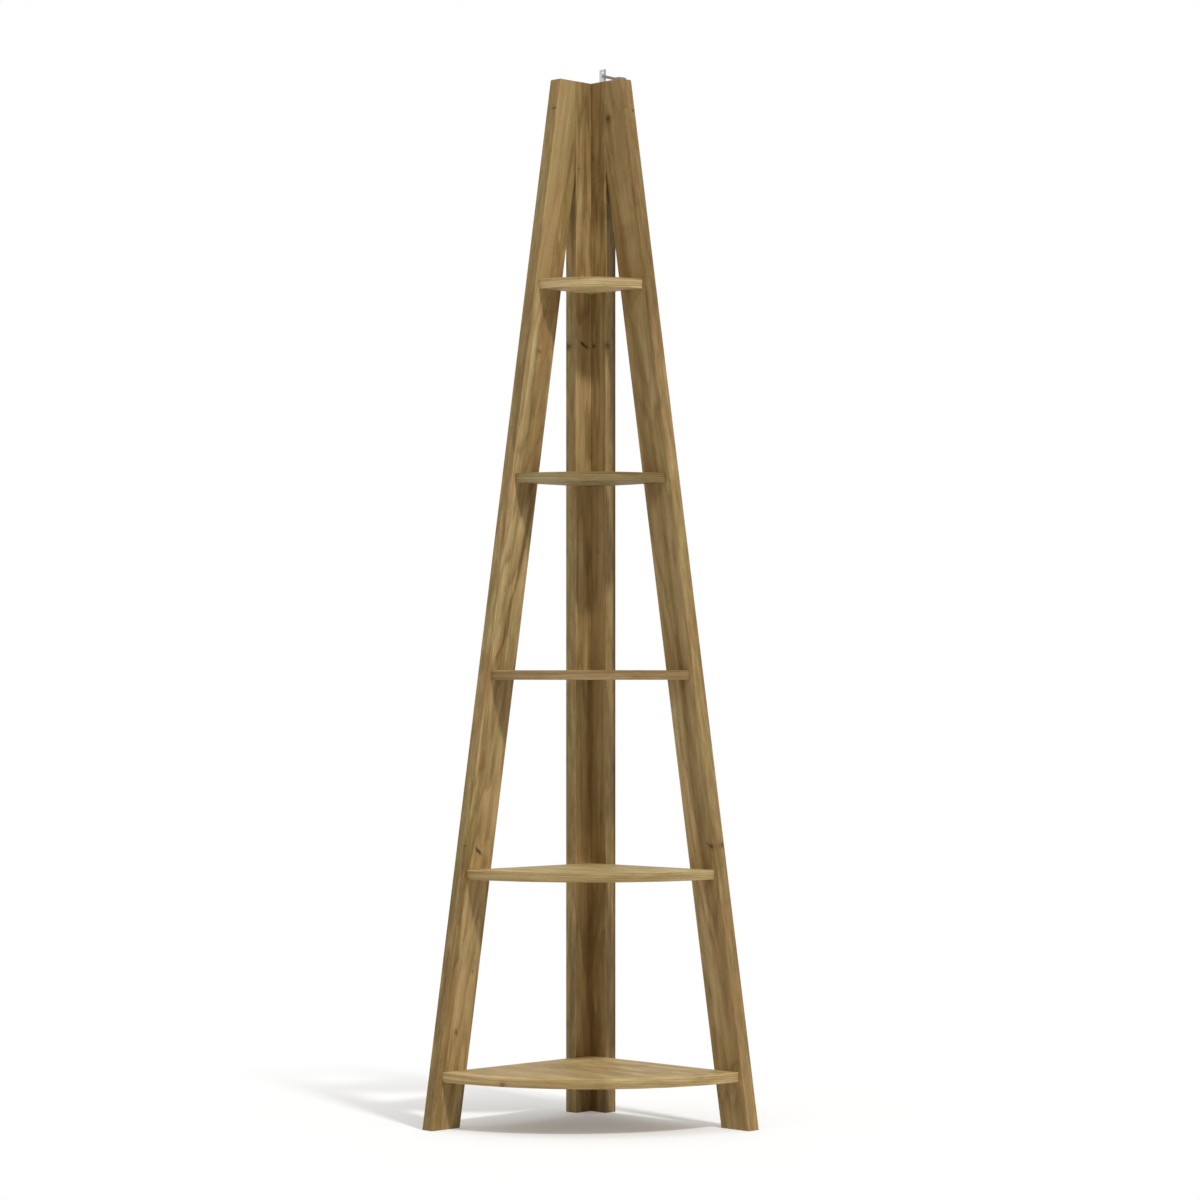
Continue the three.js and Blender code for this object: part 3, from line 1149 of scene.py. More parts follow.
LEFT_LEG = Timber(
    -12 * MM, 95 * MM, 0.020, (3.1, 0.7, 5.2), edge_tint=(0.80, 0.77, 0.66),
    marks=(
        Mark(KNOT, 165, 3.5, 4, 2.6, 0.8, thickness=60),
        Mark(KNOT, 268, -17, 4, 2.4, 0.5, thickness=30),
        Mark(CRACK, 466, 3, 4.6, 13.5, turn=36),
        Mark(CRACK, 471, 30, 2.2, 6, 0.45, depth=-6, thickness=8),
        Mark(CRACK, 1733, 30, 3, 6, 0.5, depth=-5, thickness=9),
        Mark(RUSSET, 636, 15, 6, 3, 0.7),
        Mark(SHADE, 25, 20, 60, 20, 0.5),
        # Painted fill light: lightens the back of the foot's inner face, in the bottom shelf's shadow.
        Mark(BLOOM, 40, -18, 60, 14, 0.6),
        Mark(SHADE, 452, -8, 14, 20, 0.45),
        Mark(BLOOM, 560, 4, 40, 12, 0.5),
        Mark(BLOOM, 1262, -8, 46, 14, 0.45),
        # Painted light: lightens the shadow that the fourth shelf casts on the inner face.
        Mark(BLOOM, 1035, -8, 36, 18, 0.95),
        Mark(BLOOM, 1630, 30, 120, 9, 0.45),
        Mark(BLOOM, 1345, 12, 36, 9, 0.5),
        Mark(SHADE, 1316, 2, 5, 6),
        Mark(BLOOM, 400, 30, 150, 10, 0.9, depth=-4, thickness=8),
        Mark(BLOOM, 640, 30, 150, 10, 0.75, depth=-4, thickness=8),
        Mark(BLOOM, 840, 30, 60, 10, 0.8, depth=-5, thickness=7),
    ),
    veins=(
        Vein(SHADE, ((-70, 22), (130, 22), (230, 24), (330, 25), (500, 21), (600, 18), (710, 15)), 7, 0.75),
        Vein(SHADE, (
            (750, 20), (790, 14), (820, 4), (850, 1), (880, -2), (910, -7), (950, -12), (1010, -18),
            (1080, -21)), 4.5, 1.1),
        Vein(BLOOM, ((820, -15), (870, -17), (920, -19), (980, -21)), 5, 0.6),
        Vein(BLOOM, ((760, 24), (900, 24), (1000, 22), (1150, 21), (1250, 20), (1440, 15)), 13, 0.75),
        Vein(SHADE, ((1010, -14), (1150, -12), (1250, -11), (1330, -12), (1470, -17)), 20, 0.72),
        Vein(SHADE, ((1420, -3), (1500, -7), (1560, -9), (1620, -14), (1720, -22)), 5, 0.6),
        Vein(SHADE, ((1390, -20), (1480, -20), (1560, -23), (1640, -28), (1720, -31), (1820, -33)), 9, 0.65),
        Vein(CALM, ((1380, 12), (1900, 12)), 34, 0.80),
        Vein(CALM, ((-300, 0), (1560, 0)), 60, 0.16),
    ))
RIGHT_LEG = Timber(
    9 * MM, 110 * MM, -0.016, (7.9, 4.4, 1.3), edge_tint=(0.78, 0.74, 0.64),
    marks=(
        Mark(SHADE, 58, 15, 20, 7, 0.5),
        Mark(BLOOM, 40, -10, 50, 16, 0.35),
        Mark(CRACK, 474, 19, 2.8, 12, 0.7, turn=-32),
        Mark(KNOT, 471, 24, 3.6, 4.6, 0.8),
        Mark(CRACK, 472, 30, 6, 4, 0.75, depth=7, thickness=4.5),
        Mark(RUSSET, 340, 30, 34, 8, 0.4),
        Mark(RUSSET, 205, 30, 26, 8, 0.4),
        Mark(RUSSET, 832, 30, 30, 8, 0.4),
        Mark(RUSSET, 1200, 30, 16, 8, 0.4),
        Mark(BLOOM, 560, 30, 130, 8, 0.7, depth=8, thickness=7),
        Mark(SHADE, 1075, -10, 26, 14, 0.5),
        Mark(SHADE, 1560, 18, 12, 3, 0.6),
        Mark(SHADE, 1580, 30, 300, 9, 0.62),
        Mark(SHADE, 1390, 30, 110, 9, 0.35),
        Mark(SHADE, 1690, 2, 90, 26, 0.32),
        Mark(KNOT, 1726, -11.5, 5, 5),
        Mark(SHADE, 1718, -11, 14, 9, 0.5),
        Mark(CRACK, 1730, 30, 4, 5, 0.85, depth=8, thickness=4),
        Mark(CRACK, 1735, 30, 4, 5, 0.4, depth=-9, thickness=5),
    ),
    veins=(
        Vein(SHADE, ((-30, 16), (110, 18), (200, 17), (330, 15), (380, 14)), 8, 0.38),
        Vein(SHADE, (
            (300, 17), (380, 14), (430, 10), (470, 5), (520, 2), (600, 0), (700, 0), (780, 2), (860, 3),
            (950, 2), (1080, 0)), 7, 0.50),
        Vein(BLOOM, ((130, -8), (230, -10), (330, -13), (470, -17), (620, -20), (800, -21)), 15, 0.78),
        Vein(BLOOM, ((440, 24), (620, 21), (760, 18), (900, 20), (1000, 20), (1100, 22)), 9, 0.55),
        Vein(SHADE, ((1060, -12), (1200, -15), (1300, -15), (1470, -18)), 15, 0.50),
        Vein(SHADE, ((1390, -22), (1480, -21), (1580, -25), (1700, -28)), 15, 0.75),
        Vein(BLOOM, ((1060, 26), (1150, 24), (1250, 25), (1400, 26)), 8, 0.45),
        Vein(CALM, ((1380, 10), (1900, 10)), 34, 0.60),
        Vein(CALM, ((-300, 0), (1560, 0)), 60, 0.18),
    ))
LEFT_POST = Timber(
    4 * MM, 80 * MM, 0.012, (11.6, 2.8, 8.5), edge_tint=(0.92, 0.92, 0.82),
    marks=(
        # Painted shadow: darkens the strip of sun just above the second shelf.
        Mark(SHADE, 445, 0, 26, 22, 0.8),
        Mark(BLOOM, 826, 5, 32, 5, 0.8),
        Mark(BLOOM, 950, 2, 56, 16, 0.85),
        Mark(CRACK, 1311, -1, 4.4, 16, turn=27),
        Mark(KNOT, 1308, 18, 4, 3, depth=6, thickness=5),
        Mark(CRACK, 1611, 11, 2.2, 6, 0.5),
        Mark(BLOOM, 1640, 7, 32, 6, 0.4),
        # Painted fill light on the post's foot, under the bottom shelf.
        Mark(BLOOM, 40, 0, 70, 30, 0.6),
    ),
    veins=(
        Vein(SHADE, ((1550, 17), (1850, 17)), 6, 0.55),
        Vein(BLOOM, ((1470, 14), (1540, 13), (1610, 12)), 3, 0.4),
        Vein(SHADE, ((120, -13), (400, -13), (700, -13), (1050, -13)), 5, 0.25),
        Vein(SHADE, ((1560, -9), (1640, -7), (1700, -5), (1800, -5)), 15, 0.56),
        Vein(SHADE, ((1500, -15), (1820, -15)), 3.5, 0.30),
        Vein(BLOOM, ((1530, 10.5), (1620, 11), (1720, 11)), 5, 0.50),
        Vein(CALM, ((350, 0), (760, 0)), 40, 0.5),
    ))
RIGHT_POST = Timber(
    -8 * MM, 85 * MM, -0.012, (14.2, 6.1, 3.7), edge_tint=(0.76, 0.74, 0.64),
    marks=(
        Mark(SHADE, 168, 3, 36, 3, 0.6),
        # Painted shadow: darkens the strip of sun just above the second shelf.
        Mark(SHADE, 445, -6, 26, 18, 0.5),
        Mark(SHADE, 505, 5, 14, 4, 0.7),
        Mark(SHADE, 900, -4, 34, 2, 0.8),
        Mark(SHADE, 958, -1, 6, 5, 0.5),
        Mark(CRACK, 1310, -11.5, 5.6, 9, turn=-20),
        Mark(KNOT, 1309, 17, 4, 3, 0.75, depth=-8, thickness=5),
        # Painted shade: a dark line down the front edge, beside its outer face.
        Mark(SHADE, 1100, 18, 1800, 5, 1.15, depth=9.0, thickness=4.0),
        Mark(SHADE, 1540, -4, 30, 2, 0.6),
        # Painted fill light on the post's foot, under the bottom shelf.
        Mark(BLOOM, 40, 0, 70, 30, 0.5),
        Mark(SHADE, 1185, -4, 60, 24, 0.22),
    ),
    veins=(
        Vein(BLOOM, ((860, 10), (920, 9), (1000, 8)), 4, 0.5),
        Vein(BLOOM, ((1110, 17), (1200, 16.5), (1300, 17)), 3, 0.6),
        Vein(SHADE, ((1480, -2), (1600, -2), (1700, -3), (1850, -4)), 22, 0.74),
        Vein(SHADE, ((1540, -15), (1650, -15), (1860, -15.5)), 4.5, 0.35),
        Vein(CALM, ((430, 0), (1100, 0)), 40, 0.4),
    ))


@dataclass
class Boards:
    """The two side frames: a leaning leg and an upright post board each."""

    nodes: dict[str, Object]
    corner: Vector
    thickness: float = 24 * MM
    leg_width: float = 61 * MM
    post_width: float = 36 * MM
    foot_reach: float = 367 * MM
    top_reach: float = 73 * MM
    edge_radius: float = 1.1 * MM
    finish: OakFinish = field(default_factory=OakFinish)

    def build(self) -> None:
        """Makes and dresses the four boards."""
        for side, leg, post in ((Side.LEFT, LEFT_LEG, LEFT_POST), (Side.RIGHT, RIGHT_LEG, RIGHT_POST)):
            leg_node, post_node = f"leg_{side.value}", f"post_board_{side.value}"
            leg_plank = self.leg_plank(side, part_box(leg_node)[1].z)
            for node, plank, timber in ((leg_node, leg_plank, leg), (post_node, self.post_plank(side), post)):
                material = self.finish.material(f"oak_{node}", plank, timber)
                oak_piece(self.nodes[node], self.edge_radius, material)

    def leg_plank(self, side: Side, height: float) -> Plank:
        """The frame of a leg's grain, along its lean.

        Args:
            side: Side of the leg.
            height: Height of its top end.

        Returns:
            The plank.
        """
        lean = math.atan2(self.foot_reach - self.top_reach, height)
        along = UP * math.cos(lean) - FORWARD * math.sin(lean)
        across = FORWARD * math.cos(lean) + UP * math.sin(lean)
        foot = (self.corner + FORWARD * self.foot_reach - across * self.leg_width / 2
                + OUTWARD * self.thickness / 2)
        return Plank(foot, along, across, self.leg_width / 2, self.thickness / 2, side is Side.LEFT)

    def post_plank(self, side: Side) -> Plank:
        """The frame of a post board's grain, upright."""
        foot = self.corner + FORWARD * self.post_width / 2 + OUTWARD * self.thickness / 2
        return Plank(foot, UP, FORWARD, self.post_width / 2, self.thickness / 2, side is Side.LEFT)


# ---------------------------------------------------------------------------- shelves


def shelf_timber(number: int, tint: Colour, marks: tuple[Mark, ...] = (),
                 veins: tuple[Vein, ...] = ()) -> Timber:
    """Timber of a shelf, with the rings nearly level in its thickness.

    Args:
        number: The shelf, counted from the bottom.
        tint: Tint of its wood.
        marks: Knots and patches.
        veins: Bands along the grain.

    Returns:
        The timber.
    """
    seed = (2.3 * number, 1.7 * number, 0.9 * number)
    return Timber(0.10 - 0.03 * number, 0.16, 0.03 * (-1) ** number, seed, marks, veins, tint,
                  end_tone=0.97, fineness=(1.0, 0.4, 2.6))


SHELF_TIMBERS = (
    shelf_timber(1, (0.95, 0.93, 0.91), (
        Mark(KNOT, 121, 322, 5, 5, 0.65, depth=4.5, thickness=4),
        Mark(SHADE, 85, 120, 90, 38, 0.5),
        Mark(BLOOM, 338, 30, 50, 50, 0.5),
        Mark(BLOOM, 236, 74, 60, 34, 0.45),
        Mark(SHADE, 243, 243, 60, 60, 0.25),
    ), (
        Vein(SHADE, ((5, 190), (60, 172), (110, 160), (170, 166), (250, 181), (284, 185)), 5, 0.6),
        Vein(BLOOM, ((-60, 345), (200, 340)), 40, 0.60),
        Vein(BLOOM, ((190, 280), (282, 200), (320, 130), (400, 100)), 28, 0.45),
    )),
    shelf_timber(2, (0.90, 0.91, 0.86), (
        Mark(BLOOM, 286, 20, 90, 60, 1.3),
    ), (
        Vein(BLOOM, ((-60, 285), (220, 280)), 60, 0.50),
        Vein(BLOOM, ((180, 110), (280, 90), (400, 60)), 60, 0.35),
    )),
    shelf_timber(3, (0.65, 0.59, 0.56), (), (
        Vein(BLOOM, ((-60, 232), (100, 232)), 20, 0.35),
        Vein(SHADE, ((150, 100), (400, 100)), 120, 0.20),
    )),
    shelf_timber(4, (0.66, 0.66, 0.68), (
        Mark(SHADE, 178, 8, 60, 60, 0.35),
    ), (
        Vein(BLOOM, ((-60, 178), (90, 176)), 30, 0.35),
        Vein(SHADE, ((70, 50), (430, 50)), 160, 0.60),
    )),
    shelf_timber(5, (1.17, 1.21, 1.38), (
        Mark(SHADE, 112, 50, 40, 40, 0.25),
    )),
)


@dataclass
class Shelves:
    """The five quarter-round shelves, whose grain runs along the right-hand wall."""

    nodes: dict[str, Object]
    corner: Vector
    edge_radius: float = 1.0 * MM
    finish: OakFinish = field(default_factory=lambda: OakFinish(
        pale=(0.580, 0.418, 0.178), deep=(0.350, 0.236, 0.086)))

    def build(self) -> None:
        """Makes and dresses the shelves."""
        for number, timber in enumerate(SHELF_TIMBERS, 1):
            node = f"shelf_{number}"
            material = self.finish.material(f"oak_{node}", self.plank(node), timber)
            oak_piece(self.nodes[node], self.edge_radius, material)

    def plank(self, node: str) -> Plank:
        """The frame of a shelf's grain, round the inner corner of the post.

        Args:
            node: Name of the shelf's CAD node.

        Returns:
            The plank, with y along the left-hand wall and z down.
        """
        low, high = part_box(node)
        foot = Vector((0.0, self.corner.y, (low.z + high.z) / 2))
        return RoundPlank(foot, FORWARD, -OUTWARD, self.corner.y - low.y, (high.z - low.z) / 2)


# ---------------------------------------------------------------------------- fasteners


@dataclass
class CountersunkScrew:
    """Countersunk screw with a rolled thread, modelled upright with its head's top at the origin."""

    length: float
    head_radius: float = 5 * MM
    rim: float = 1.2 * MM
    shank_radius: float = 3.15 * MM
    core_radius: float = 2.35 * MM
    point_length: float = 4 * MM
    point_radius: float = 1.0 * MM
    plain_length: float = 8 * MM
    pitch: float = 2.4 * MM
    drive: Drive = Drive.HEXAGON
    recess_width: float = 4 * MM
    recess_depth: float = 3 * MM
    slot_width: float = 1 * MM
    rim_rounding: float = 0.25 * MM
    sides: int = 36
    thread_steps: int = 12

    def model(self) -> Object:
        """Models the screw.

        Returns:
            The screw, pointing along -Z.
        """
        screw = cylinder(self.sides, self.head_radius, self.rim, -self.rim / 2)
        cone = self.head_radius - self.shank_radius
        neck = self.shank_radius - self.core_radius
        threaded = self.length - self.plain_length - self.point_length
        with editing(screw):
            pick_facing(screw, -UP)
            for depth, share in (
                    (cone, self.shank_radius / self.head_radius),
                    (self.plain_length - self.rim - cone, 1.0),
                    (neck, self.core_radius / self.shank_radius),
                    (threaded - neck, 1.0),
                    (self.point_length, self.point_radius / self.core_radius)):
                extrude((0, 0, -depth), share)
            turn_faces_out()
        self.cut_recess(screw)
        round_edges(screw, self.rim_rounding, degrees=60)
        thread = self.thread(threaded)
        choose(screw)
        thread.select_set(True)
        bpy.ops.object.join()
        smooth(screw, degrees=35)
        return screw

    def cut_recess(self, screw: Object) -> None:
        """Cuts the hexagon or the two crossed slots into the head.

        Args:
            screw: The screw.
        """
        if self.drive is Drive.HEXAGON:
            key = cylinder(6, self.recess_width / math.sqrt(3), 2 * self.recess_depth)
            combine(screw, key, "DIFFERENCE")
            return
        for turn in (0.0, math.pi / 2):
            blade = start(bpy.ops.mesh.primitive_cube_add, size=1, rotation=(0.0, 0.0, turn),
                          scale=(self.recess_width, self.slot_width, 2 * self.recess_depth))
            combine(screw, blade, "DIFFERENCE")

    def thread(self, threaded: float) -> Object:
        """Winds the thread's ridge round the core.

        Args:
            threaded: Length of the thread.

        Returns:
            The ridge, a three-sided strip.
        """
        ridge = start(bpy.ops.mesh.primitive_circle_add, vertices=3, radius=self.pitch / 2,
                      fill_type="NOTHING", rotation=(math.pi / 2, math.pi / 2, 0),
                      location=(self.core_radius, 0, -self.plain_length - self.pitch))
        turns = int(threaded / self.pitch) - 1
        reach = max(corner.co.x for corner in ridge.data.vertices) - self.core_radius
        squeeze = (self.shank_radius - self.core_radius) / reach
        with editing(ridge):
            bpy.ops.transform.resize(value=(squeeze, 1.0, 1.0), center_override=(self.core_radius, 0.0, 0.0))
        finish_with(ridge, "SCREW", axis="Z", screw_offset=-self.pitch, iterations=turns,
                    steps=self.thread_steps, render_steps=self.thread_steps)
        with editing(ridge):
            turn_faces_out()
        return ridge


@dataclass
class Dowel:
    """Fluted beech dowel, modelled upright about the origin."""

    length: float
    radius: float = 4 * MM
    chamfer: float = 1 * MM
    flutes: int = 18
    flute_depth: float = 0.35 * MM

    def model(self) -> Object:
        """Models the dowel.

        Returns:
            The dowel, along Z.
        """
        dowel = cylinder(2 * self.flutes, self.radius, self.length - 2 * self.chamfer)
        groove = 1 - self.flute_depth / self.radius
        with editing(dowel):
            for end in (1, -1):
                pick_facing(dowel, end * UP)
                extrude((0, 0, end * self.chamfer), 1 - self.chamfer / self.radius)
            pick(dowel, Element.EDGE, self.is_groove)
            bpy.ops.transform.resize(value=(groove, groove, 1.0))
        smooth(dowel, degrees=50)
        return dowel

    def is_groove(self, edge: bmesh.types.BMEdge) -> bool:
        """Tells whether an edge runs along the dowel at the bottom of a flute.

        Args:
            edge: The edge.

        Returns:
            True for such an edge.
        """
        first, second = (corner.co for corner in edge.verts)
        upright = abs(first.z - second.z) > self.length / 2
        turn = math.atan2(first.y, first.x) / math.pi * self.flutes
        return upright and round(turn) % 2 == 0


@dataclass
class Fasteners:
    """Every screw and dowel, as a copy of its model in the place that its CAD node has."""

    nodes: dict[str, Object]
    zinc: MetalFinish = MetalFinish("bright_zinc")
    beech: BeechFinish = BeechFinish()
    leg_screw_length: float = 50 * MM
    post_screw_length: float = 40 * MM
    leg_dowel_length: float = 30 * MM
    top_dowel_length: float = 40 * MM

    def build(self) -> None:
        """Makes and dresses all fasteners of the frame."""
        zinc, beech = self.zinc.material(), self.beech.material()
        long_screw = CountersunkScrew(self.leg_screw_length).model()
        short_screw = CountersunkScrew(self.post_screw_length).model()
        leg_dowel, top_dowel = Dowel(self.leg_dowel_length).model(), Dowel(self.top_dowel_length).model()
        screws = {"leg_screw": long_screw, "corner_screw": long_screw, "post_screw": short_screw}
        dowels = {"leg_dowel": leg_dowel, "top_dowel": top_dowel}
        for node in sorted(self.nodes):
            kind = "_".join(node.split("_")[:2])
            if kind in screws:
                piece = placed_copy(screws[kind], f"{node}_zinc", self.screw_place(node))
                dress(piece, zinc, "frame", node)
            elif kind in dowels:
                piece = placed_copy(dowels[kind], f"{node}_beech", self.dowel_place(node))
                dress(piece, beech, "frame", node)
        for model in (long_screw, short_screw, leg_dowel, top_dowel):
            bpy.data.objects.remove(model)

    @staticmethod
    def screw_place(node: str) -> Matrix:
        """Place of a screw: its +Z points out of the wall that its head lies in.

        Args:
            node: Name of the screw's CAD node.

        Returns:
            The model's axes and origin in the row frame.
        """
        low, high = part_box(node)
        side = side_sign(node)
        rim = CountersunkScrew.head_radius * HALF_SQRT
        head = Vector((high.x - rim if side > 0 else low.x + rim, high.y - rim, (low.z + high.z) / 2))
        return level_place(head, side, 1)

    @staticmethod
    def dowel_place(node: str) -> Matrix:
        """Place of a dowel: its Z lies across the board, or along it in the top joints."""
        low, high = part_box(node)
        return level_place((low + high) / 2, side_sign(node), -1 if node.startswith("top") else 1)


# ---------------------------------------------------------------------------- wall anchor


@dataclass
class WallAnchor:
    """Steel bracket on the right leg's top end, and the wood screw that it turns about.

    The bracket is modelled about its pivot: x along the wall, y out through it, z up from the leg.
    """

    wall_plane: float = 12 * MM
    foot_radius: float = 5 * MM
    foot_sides: int = 48
    arm_width: float = 8 * MM
    arm_thickness: float = 5 * MM
    arm_path: tuple[tuple[float, float], ...] = (
        (-1.5 * MM, 0.12 * MM), (-1.5 * MM, 0.30 * MM), (-42.5 * MM, 11.58 * MM))
    leaf_middle: float = -50.5 * MM
    leaf_size: Floats = (14 * MM, 2 * MM, 23 * MM)
    leaf_bottom: float = 3 * MM
    leaf_corner: float = 1.6 * MM
    leaf_hole: float = 2 * MM
    leaf_hole_drop: float = 5 * MM
    hole_sides: int = 40
    screw_sunk: float = 0.3 * MM
    screw_room: float = 0.3 * MM
    edge_radius: float = 0.35 * MM
    zinc: MetalFinish = MetalFinish("bright_zinc_anchor_screw")

    def build(self) -> None:
        """Makes and dresses the bracket and its screw."""
        low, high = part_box("wall_anchor_screw")
        pivot = Vector(((low.x + high.x) / 2, (low.y + high.y) / 2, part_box("wall_anchor")[0].z))
        screw = CountersunkScrew(
            high.z - low.z, head_radius=3.5 * MM, rim=0.5 * MM, shank_radius=2 * MM, core_radius=1.4 * MM,
            point_radius=0.5 * MM, pitch=1.8 * MM, drive=Drive.CROSS, recess_depth=1.1 * MM,
            rim_rounding=0.12 * MM)
        screw_top = Matrix.Translation((pivot.x, pivot.y, high.z))
        piece = placed_model(screw.model(), "wall_anchor_screw_zinc", screw_top)
        dress(piece, self.zinc.material(), "frame", "wall_anchor_screw")

        along_wall = Matrix.Translation(pivot) @ Matrix.Rotation(-math.pi / 4, 4, "Z")
        piece = placed_model(self.bracket(screw), "wall_anchor_steel", along_wall)
        finish_with(piece, "WEIGHTED_NORMAL", keep_sharp=True)
        steel = BracketFinish("satin_zinc_anchor", pivot=pivot)
        dress(piece, steel.material(), "anchor", "wall_anchor")

    def bracket(self, screw: CountersunkScrew) -> Object:
        """Models the bracket.

        Args:
            screw: The screw that goes through its foot.

        Returns:
            The bracket, about its pivot.
        """
        bracket = self.foot_and_arm()
        combine(bracket, self.leaf(), "UNION")
        head_top = Matrix.Translation((0.0, 0.0, self.arm_thickness - self.screw_sunk))
        self.drill(bracket, head_top, screw.head_radius, screw.shank_radius, screw.rim + self.screw_room)
        hole_height = self.leaf_bottom + self.leaf_size[2] - self.leaf_hole_drop
        leaf_face = Matrix.Translation((self.leaf_middle, self.wall_plane - self.leaf_size[1], hole_height))
        leaf_face @= Matrix.Rotation(math.pi / 2, 4, "X")
        room = self.screw_room
        self.drill(bracket, leaf_face, self.leaf_hole + room, self.leaf_hole - room, 0.0)
        round_edges(bracket, self.edge_radius, degrees=50)
        smooth(bracket, degrees=35)
        return bracket

    def foot_and_arm(self) -> Object:
        """Models the foot, whose back reaches the wall's plane, and draws the arm out of its side.

        Returns:
            The foot with the arm.
        """
        foot = cylinder(self.foot_sides, self.foot_radius, self.arm_thickness, self.arm_thickness / 2)
        arm_front = self.wall_plane - self.arm_width
        with editing(foot):
            bpy.ops.mesh.bisect(plane_co=(0, 0, 0), plane_no=(0, 1, 0), use_fill=True, clear_outer=True)
            for step in (arm_front, self.arm_width):
                pick_facing(foot, Vector((0.0, 1.0, 0.0)))
                extrude((0, step, 0))
            pick(foot, Element.FACE, lambda face: face.normal.x < -FACING
                 and min(corner.co.y for corner in face.verts) > arm_front - EDIT_SLACK)
            for along, up in self.arm_path:
                extrude((along, 0, up))
            turn_faces_out()
        return foot

    def leaf(self) -> Object:
        """Models the upright leaf with its rounded corners.

        Returns:
            The leaf, in its place on the bracket.
        """
        half_thick, half_tall = self.leaf_size[1] / 2, self.leaf_size[2] / 2
        middle = (self.leaf_middle, self.wall_plane - half_thick, self.leaf_bottom + half_tall)
        leaf = start(bpy.ops.mesh.primitive_cube_add, size=1, scale=self.leaf_size, location=middle)
        with editing(leaf):
            pick(leaf, Element.EDGE, lambda edge: abs(edge.verts[0].co.y - edge.verts[1].co.y) > half_thick)
            bpy.ops.mesh.bevel(offset=self.leaf_corner, segments=6, profile=0.5, affect="EDGES")
        return leaf

    def drill(self, bracket: Object, place: Matrix, head_radius: float, bore_radius: float,
              seat: float) -> None:
        """Drills and countersinks a hole with room for its screw.

        Args:
            bracket: The bracket.
            place: Middle of the head's top, with +Z the way that the head faces.
            head_radius: Radius of the screw's head.
            bore_radius: Radius of its shank.
            seat: Depth below the head's top at which the cone begins.
        """
        wide, narrow = head_radius + self.screw_room, bore_radius + self.screw_room
        bit = cylinder(self.hole_sides, wide, self.arm_thickness + seat, (self.arm_thickness - seat) / 2)
        with editing(bit):
            pick_facing(bit, -UP)
            extrude((0, 0, narrow - wide), narrow / wide)
            extrude((0, 0, -2 * self.arm_thickness))
            turn_faces_out()
        bit.matrix_world = place
        settle(bit)
        combine(bracket, bit, "DIFFERENCE")


# ---------------------------------------------------------------------------- studio


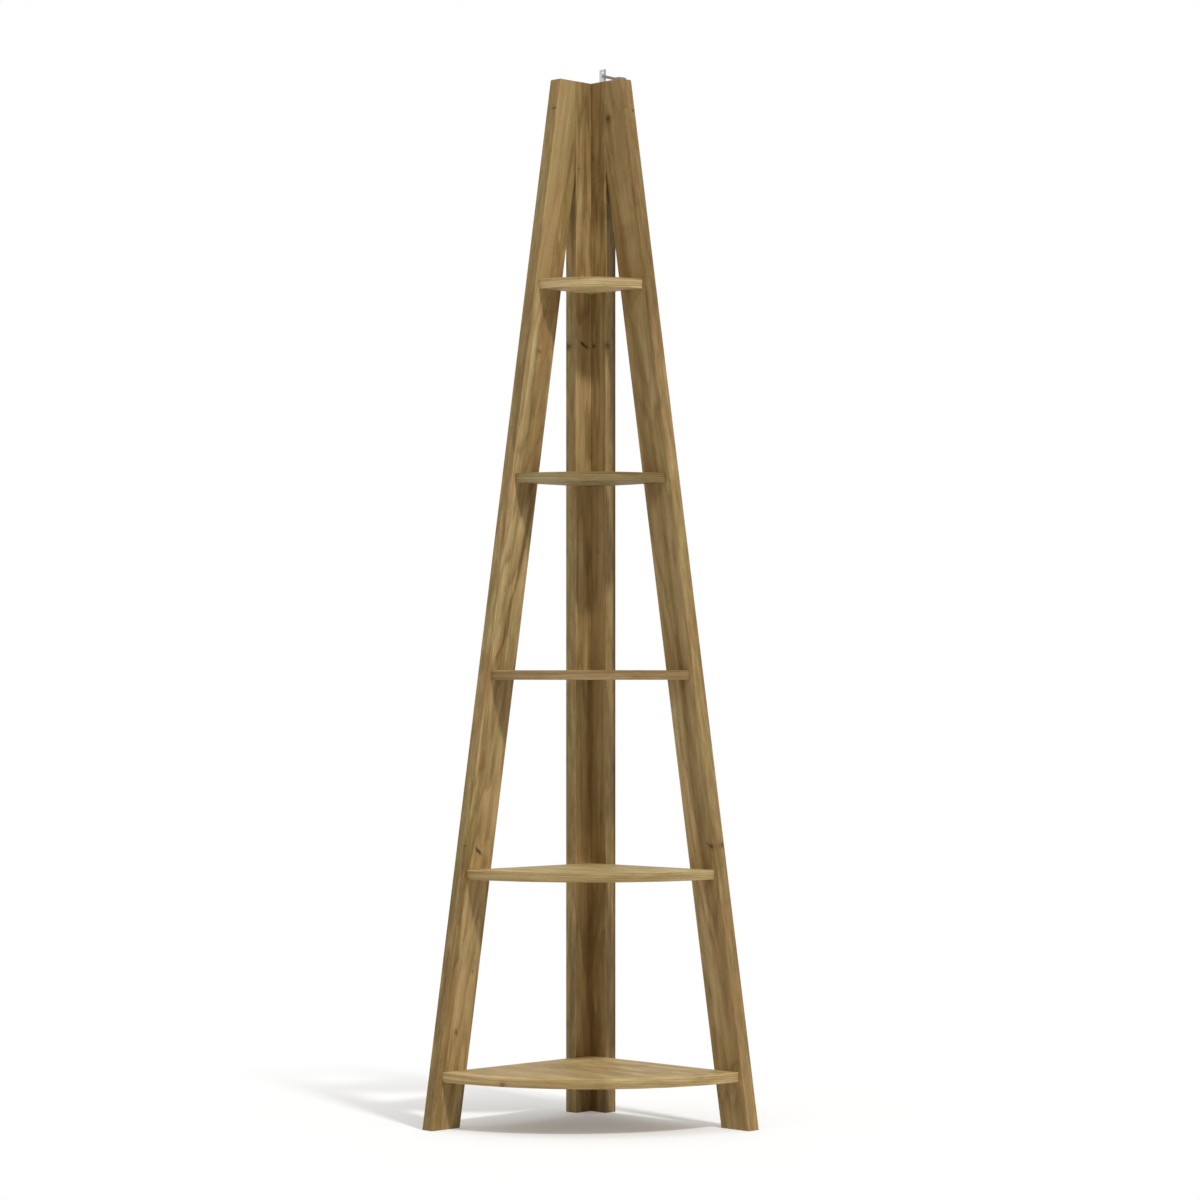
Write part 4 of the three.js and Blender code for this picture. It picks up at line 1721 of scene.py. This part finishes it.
@dataclass
class Studio:
    """Pale floor, white backdrop, one soft sun, an overcast sky and the camera."""

    camera_place: Vector = field(default_factory=lambda: Vector((0.0156, -5.6687, 0.7476)))
    lens: float = 102.0
    sensor: float = 36.0
    rise: float = 0.0622
    sight: float = 200.0
    sun_travel: Vector = field(default_factory=lambda: Vector((-0.48, 0.67, -1.0)))
    sun_strength: float = 1.7
    sun_width: float = math.radians(5.5)
    sky_low: float = 0.02
    sky_high: float = 1.20
    floor_seen: float = 0.80
    floor_bounce: float = 0.75
    floor_lift: float = 0.215
    # Warm tint of the floor's glow near the shelf, which shows only in the shadows there: painted warm light,
    # as if thrown back from the wood.
    floor_warmth: Colour = (1.0, 0.985, 0.955)
    shadow_reach: Range = (1.12, 0.05)
    floor_size: float = 60.0

    def build(self) -> None:
        """Makes the floor, the lights, the world and the camera."""
        self.floor()
        self.sun()
        self.world()
        self.camera()
        bpy.context.scene.view_settings.view_transform = "Standard"

    def floor(self) -> None:
        """Pale floor that keeps the shadows near the shelf and turns plain white away from it."""
        floor = start(bpy.ops.mesh.primitive_plane_add, size=self.floor_size)
        floor.name = "studio_floor"
        material, graph = new_material("studio_floor")
        seen = self.seen_directly(graph)
        distance = graph.length(graph.add("TexCoord").outputs["Object"])
        near = graph.ease(distance, *self.shadow_reach)
        shown = graph.mul_add(near, self.floor_seen, -self.floor_bounce)
        tone = graph.mul_add(seen, shown, self.floor_bounce)
        lift = graph.mul_add(near, self.floor_lift - 1.0, 1.0)
        glow = graph.add("Emission", {
            "Color": graph.blend(near, rgba(WHITE), rgba(self.floor_warmth)),
            "Strength": graph.times(seen, lift)}).outputs[0]
        paint = graph.add("BsdfDiffuse", {"Color": graph.joined(tone, tone, tone)}).outputs[0]
        graph.add("OutputMaterial", {"Surface": graph.add("AddShader", {0: paint, 1: glow}).outputs[0]})
        floor.data.materials.append(material)

    @staticmethod
    def seen_directly(graph: Graph) -> Socket:
        """Tells what the camera sees from what only sends light.

        Args:
            graph: The graph that the nodes go into.

        Returns:
            1 for what is seen, straight or in a mirror or through glass, and 0 for light.
        """
        rays = graph.add("LightPath").outputs
        seen = graph.math("MAXIMUM", rays["Is Camera Ray"], rays["Is Glossy Ray"])
        return graph.math("MAXIMUM", seen, rays["Is Transmission Ray"])

    def sun(self) -> None:
        """One soft lamp, from high on the right in front."""
        lamp = bpy.data.lights.new("key_sun", "SUN")
        lamp.energy = self.sun_strength
        lamp.angle = self.sun_width
        sun = add_object("key_sun", lamp)
        sun.rotation_mode = "QUATERNION"
        sun.rotation_quaternion = self.sun_travel.to_track_quat("-Z", "Y")

    def world(self) -> None:
        """Sky that lights from above and looks plain white."""
        world = bpy.data.worlds.new("studio_sky")
        world.use_nodes = True
        bpy.context.scene.world = world
        graph = Graph(world.node_tree)
        height = graph.split(graph.add("TexCoord").outputs["Generated"])[2]
        squared = graph.times(height, height)
        light = graph.mul_add(squared, self.sky_high, self.sky_low)
        seen = self.seen_directly(graph)
        unseen = graph.minus(1.0, seen)
        strength = graph.math("MAXIMUM", seen, graph.times(light, unseen))
        sky = graph.add("Background", {"Color": rgba(WHITE), "Strength": strength})
        graph.add("OutputWorld", {"Surface": sky.outputs[0]})

    def camera(self) -> None:
        """Level camera in front, at the height of the middle of the shelf."""
        lens = bpy.data.cameras.new("camera")
        lens.lens = self.lens
        lens.sensor_width = self.sensor
        lens.shift_y = self.rise
        lens.clip_end = self.sight
        camera = add_object("camera", lens)
        camera.location = self.camera_place
        camera.rotation_euler = (math.pi / 2, 0.0, 0.0)
        bpy.context.scene.camera = camera


def main() -> None:
    logging.basicConfig(level=logging.INFO, format="%(message)s")
    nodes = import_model()["nodes"]
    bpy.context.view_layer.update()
    corner = Vector((0.0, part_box("post_board_left")[1].y - Boards.thickness * math.sqrt(2), 0.0))
    Boards(nodes, corner).build()
    Shelves(nodes, corner).build()
    Fasteners(nodes).build()
    WallAnchor().build()
    Studio().build()


if __name__ == "__main__":
    main()
